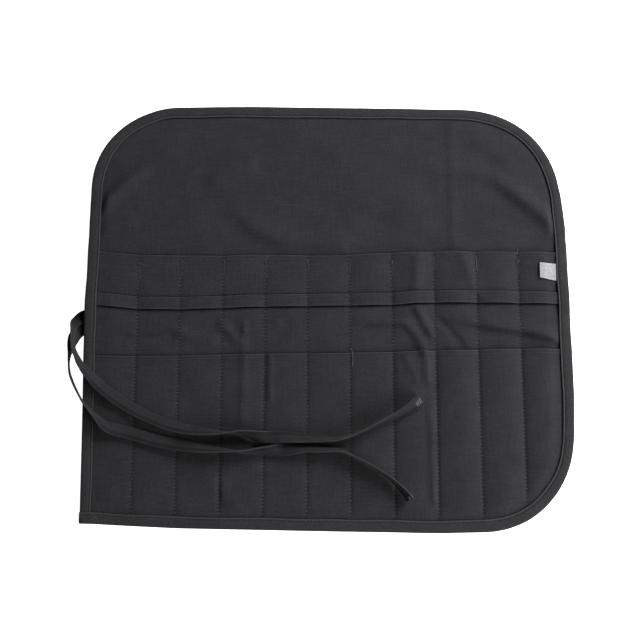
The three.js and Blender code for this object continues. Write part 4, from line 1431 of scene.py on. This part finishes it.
def weave_group() -> Tree:
    """Plain weave: warp and weft threads that pass over each other like a chequerboard.

    With a and b the place in threads, a thread's height is |sin(pi a)| or |sin(pi b)|, whichever
    lies on top where the sign of sin(pi a) sin(pi b) says so. Slubs are noise drawn out along each
    set of threads. Mottle is soft noise a few centimetres wide, and grain a few millimetres.

    Returns:
        The group, with the outputs Height, Slub, Mottle and Grain.
    """
    name = "CanvasWeave"
    if name in bpy.data.node_groups:
        return bpy.data.node_groups[name]
    tree = bpy.data.node_groups.new(name, "ShaderNodeTree")
    socket = tree.interface.new_socket
    socket("Vector", in_out="INPUT", socket_type="NodeSocketVector")
    socket("Threads", in_out="INPUT", socket_type="NodeSocketFloat").default_value = 1300.0
    for output in ("Height", "Slub", "Mottle", "Grain"):
        socket(output, in_out="OUTPUT", socket_type="NodeSocketFloat")
    start = add_node(tree, "NodeGroupInput").outputs
    inputs = {0: start["Vector"], "Scale": start["Threads"]}
    scaled = add_node(tree, "ShaderNodeVectorMath", inputs, operation="SCALE").outputs[0]
    parts = add_node(tree, "ShaderNodeSeparateXYZ", {0: scaled}).outputs
    waves = [maths(tree, "SINE", maths(tree, "MULTIPLY", parts[k], math.pi)) for k in (0, 1)]
    over = maths(tree, "GREATER_THAN", maths(tree, "MULTIPLY", *waves), 0.0)
    streaks = []
    for stretch in ((0.55, 0.035, 1.0), (0.035, 0.55, 1.0)):
        drawn = add_node(tree, "ShaderNodeVectorMath", {0: scaled, 1: stretch}, operation="MULTIPLY")
        streaks.append(noise(tree, drawn.outputs[0], 1.0, 2.0))
    outputs = {
        "Height": choice(tree, over, *(maths(tree, "ABSOLUTE", wave) for wave in waves)),
        "Slub": maths(tree, "MULTIPLY", maths(tree, "ADD", *streaks), 0.5),
        "Mottle": noise(tree, start["Vector"], 38.0, 3.0),
        "Grain": noise(tree, start["Vector"], 520.0, 2.0),
    }
    add_node(tree, "NodeGroupOutput", outputs)
    return tree


@dataclass(frozen=True)
class ClothFinish:
    """Dyed cotton cloth: woven relief, slubs, faint mottling, paler where its folds are rubbed and lit with a painted
    highlight, and painted shade where the marks say.
    """

    name: str
    dye: tuple
    # Colour of worn edges, which also serves as a painted highlight
    worn_lit_colour: tuple
    threads: float
    turn_deg: float
    bump: float
    sheen: float
    specular: float = 0.05
    roughness: float = 0.9

    def material(self) -> Material:
        """Builds the material.

        The dye is darkened by the weave, slub, mottle and grain, then by painted shade in the needle holes between the
        stitches and by the painted shade that the marks hold, and the worn colour, which also serves as a painted
        highlight, is laid over it.

        Returns:
            A material that reads the piece's weave map and its rub and marks attributes.
        """
        inputs = {"Specular IOR Level": self.specular, "Sheen Weight": self.sheen}
        inputs |= {"Sheen Roughness": 0.6, "Sheen Tint": (0.75, 0.75, 0.8, 1)}
        made, tree, shader = new_material(self.name, inputs)
        place = add_node(tree, "ShaderNodeUVMap", uv_map=UV_LAYER).outputs[0]
        turn = (0, 0, math.radians(self.turn_deg))
        turned = add_node(tree, "ShaderNodeMapping", {"Vector": place, "Rotation": turn}).outputs[0]
        inputs = {"Vector": turned, "Threads": self.threads}
        weave = add_node(tree, "ShaderNodeGroup", inputs, node_tree=weave_group())
        height, slub, mottle, grain = weave.outputs
        depth = maths(tree, "MULTIPLY_ADD", height, 0.35, 0.78)
        patch = maths(tree, "MULTIPLY_ADD", mottle, 0.55, 0.725)
        patch = maths(tree, "MULTIPLY", patch, maths(tree, "MULTIPLY_ADD", grain, 0.9, 0.55))
        shade = maths(tree, "MULTIPLY", maths(tree, "MULTIPLY", depth, patch), maths(tree, "ADD", slub, 0.5))
        marks = add_node(tree, "ShaderNodeAttribute", attribute_name=MARKS)
        near, along, dark = add_node(tree, "ShaderNodeSeparateXYZ", {0: marks.outputs["Vector"]}).outputs
        # Painted shade in the needle holes between stitches, and the painted shade that the marks hold
        wave = maths(tree, "COSINE", maths(tree, "MULTIPLY", along, 2 * math.pi / Skins().stitch))
        between = maths(tree, "MULTIPLY_ADD", wave, -1.6, -0.1)
        between.node.use_clamp = True
        hole_shade = maths(tree, "MULTIPLY", maths(tree, "MULTIPLY", between, near), 0.5)
        kept = maths(tree, "SUBTRACT", 1.0, maths(tree, "MAXIMUM", hole_shade, dark))
        dyed = mix(tree, 1.0, (*self.dye, 1), maths(tree, "MULTIPLY", shade, kept), "MULTIPLY")
        # Worn colour laid where the attribute says, standing also for a painted highlight
        wear_and_highlight = add_node(tree, "ShaderNodeAttribute", attribute_name=WEAR_AND_HIGHLIGHT).outputs["Fac"]
        worn_and_lit = maths(tree, "MULTIPLY", wear_and_highlight, maths(tree, "MULTIPLY", slub, 1.5))
        relief = maths(tree, "ADD", height, maths(tree, "MULTIPLY", slub, 1.2))
        bump = add_node(tree, "ShaderNodeBump", {0: self.bump, 1: 0.00022, "Height": relief})
        inputs = {"Base Color": mix(tree, worn_and_lit, dyed, (*self.worn_lit_colour, 1)), "Normal": bump.outputs[0]}
        inputs["Roughness"] = maths(tree, "MULTIPLY_ADD", mottle, 0.1, self.roughness - 0.05)
        plug(tree, shader, inputs)
        return made


@dataclass(frozen=True)
class ThreadFinish:
    """Spun sewing thread: a twist across its length, a little sheen."""

    name: str
    colour: tuple
    specular: float = 0.25

    def material(self) -> Material:
        """Builds the material: fine noise in object space darkens and raises the plies."""
        inputs = {"Specular IOR Level": self.specular, "Sheen Weight": 0.1}
        made, tree, shader = new_material(self.name, inputs)
        plies = noise(tree, add_node(tree, "ShaderNodeTexCoord").outputs["Object"], 3200.0, 1.0)
        dim, bright = ((*(min(part * c, 1) for c in self.colour), 1) for part in (0.55, 1.3))
        bump = add_node(tree, "ShaderNodeBump", {0: 0.5, 1: 0.0001, "Height": plies})
        inputs = {"Base Color": mix(tree, plies, dim, bright), "Normal": bump.outputs[0]}
        inputs["Roughness"] = maths(tree, "MULTIPLY_ADD", plies, 0.2, 0.6)
        plug(tree, shader, inputs)
        return made


@dataclass
class Studio:
    """White table, soft key light from the upper right, weak fill all round, and the camera."""

    camera_place: tuple = (-0.0070, -0.1499, 0.8195)
    camera_tilt_deg: float = 9.8
    lens: float = 50.0
    # Name, place in metres, length of the sides and power in watts of each lamp
    lamps: tuple = (("key", (0.90, 0.84, 0.84), 0.75, 49.0), ("side", (1.05, -0.85, 0.62), 0.9, 36.0))
    fill: float = 0.18
    floor_glow: float = 1.0
    floor_half: float = 12000.0

    def build(self) -> None:
        """Makes the camera, the lights and the floor."""
        scene = bpy.context.scene
        lens = bpy.data.cameras.new("view")
        lens.lens, lens.sensor_width = self.lens, 36.0
        scene.camera = self.add("view", lens, self.camera_place, (math.radians(self.camera_tilt_deg), 0, 0))
        for name, place, size, power in self.lamps:
            self.lamp(name, place, size, power)
        self.world(scene)
        self.floor()
        scene.view_settings.view_transform = "Standard"

    def add(self, name: str, data: bpy.types.ID, place: tuple = (0, 0, 0), turn: tuple = (0, 0, 0)) -> Piece:
        """Puts an object of the studio into the scene, at a place and turned by three angles."""
        made = bpy.data.objects.new(name, data)
        made.location, made.rotation_euler = place, turn
        bpy.context.scene.collection.objects.link(made)
        return made

    def lamp(self, name: str, place: tuple, size: float, power: float) -> None:
        """A square soft lamp that faces the middle of the table.

        Args:
            name: The lamp's name.
            place: Where it hangs, in metres.
            size: Length of its sides.
            power: Its power in watts.
        """
        light = bpy.data.lights.new(name, "AREA")
        light.size, light.energy = size, power
        x, y, z = (-along for along in place)
        self.add(name, light, place, (math.atan2(math.hypot(x, y), -z), 0, math.atan2(y, x) - math.pi / 2))

    def world(self, scene: bpy.types.Scene) -> None:
        """An even white surround that lights weakly and is seen as white."""
        world = bpy.data.worlds.new("surround")
        scene.world = world
        world.use_nodes = True
        tree = world.node_tree
        seen = add_node(tree, "ShaderNodeLightPath").outputs["Is Camera Ray"]
        glow = {"Strength": choice(tree, seen, self.fill, 1.0), "Color": (1, 1, 1, 1)}
        plug(tree, tree.nodes["Background"], glow)

    def floor(self) -> None:
        """A wide pale table top."""
        half = self.floor_half * MM
        mesh = bpy.data.meshes.new("table_top")
        corners = [(-half, -half, 0), (half, -half, 0), (half, half, 0), (-half, half, 0)]
        mesh.from_pydata(corners, [], [(0, 1, 2, 3)])
        inputs = {"Base Color": (0.9, 0.9, 0.9, 1), "Roughness": 0.9}
        inputs |= {"Emission Color": (1, 1, 1, 1), "Emission Strength": self.floor_glow}
        mesh.materials.append(new_material("white_table", inputs)[0])
        self.add("table_top", mesh)


def main() -> None:
    """Builds the studio, the ties, the cloth, the binding, the label and the stitches, in order."""
    logging.basicConfig(level=logging.INFO, format="%(name)s %(message)s")
    Studio().build()
    # Each finish: name, dye, worn colour that also serves as a painted highlight, threads per metre, turn of the weave,
    # bump and sheen; the label also sets specular and roughness
    canvas = ClothFinish("charcoal_canvas", (0.0155, 0.0155, 0.0168), (0.034, 0.034, 0.036), 1300, 0, 0.55, 0.03)
    tape = ClothFinish("binding_canvas", (0.0178, 0.0178, 0.0191), (0.040, 0.040, 0.042), 1500, 45, 0.5, 0.03)
    tie_cloth = ClothFinish("tie_canvas", (0.0122, 0.0122, 0.0134), (0.034, 0.034, 0.036), 1500, 0, 0.5, 0.03)
    woven = ClothFinish("label_satin", (0.185, 0.185, 0.19), (0.24, 0.24, 0.24), 2600, 0, 0.35, 0.05, 0.2, 0.75)
    dark = ThreadFinish("charcoal_thread", (0.016, 0.016, 0.0175)).material()
    seam = ThreadFinish("seam_thread", (0.032, 0.032, 0.0345), 0.1).material()
    loose = ThreadFinish("loose_thread", (0.075, 0.075, 0.078)).material()
    pale = ThreadFinish("pale_thread", (0.11, 0.11, 0.113)).material()
    cloth, edge, strap = canvas.material(), tape.material(), tie_cloth.material()
    skins = Skins()
    upper = TapeTie("tie_upper_tape", "tie_upper", UPPER_ROUTE, TieEnd.ZIGZAG, (-0.2262, -0.0046, 0.0012), skins)
    place = (-0.2262, -0.0170, 0.0012)
    # The lower tie's root carries a shorter painted shadow
    lower = TapeTie("tie_lower_tape", "tie_lower", LOWER_ROUTE, TieEnd.EDGE, place, skins, shaded=14.0)
    for tie in (upper, lower):
        tie.build(strap, pale)
    Canvas(skins).build(cloth)
    binding = EdgeBinding(skins)
    binding.build(edge)
    Label(skins).build(woven.material(), pale)
    seams = Seams(skins)
    seams.dividers(seam)
    seams.knots(ThreadFinish("black_thread", (0.012, 0.012, 0.013)).material())
    seams.hems(dark)
    seams.edge(binding, dark)
    seams.roots(seam)
    seams.tails(loose)


if __name__ == "__main__":
    main()
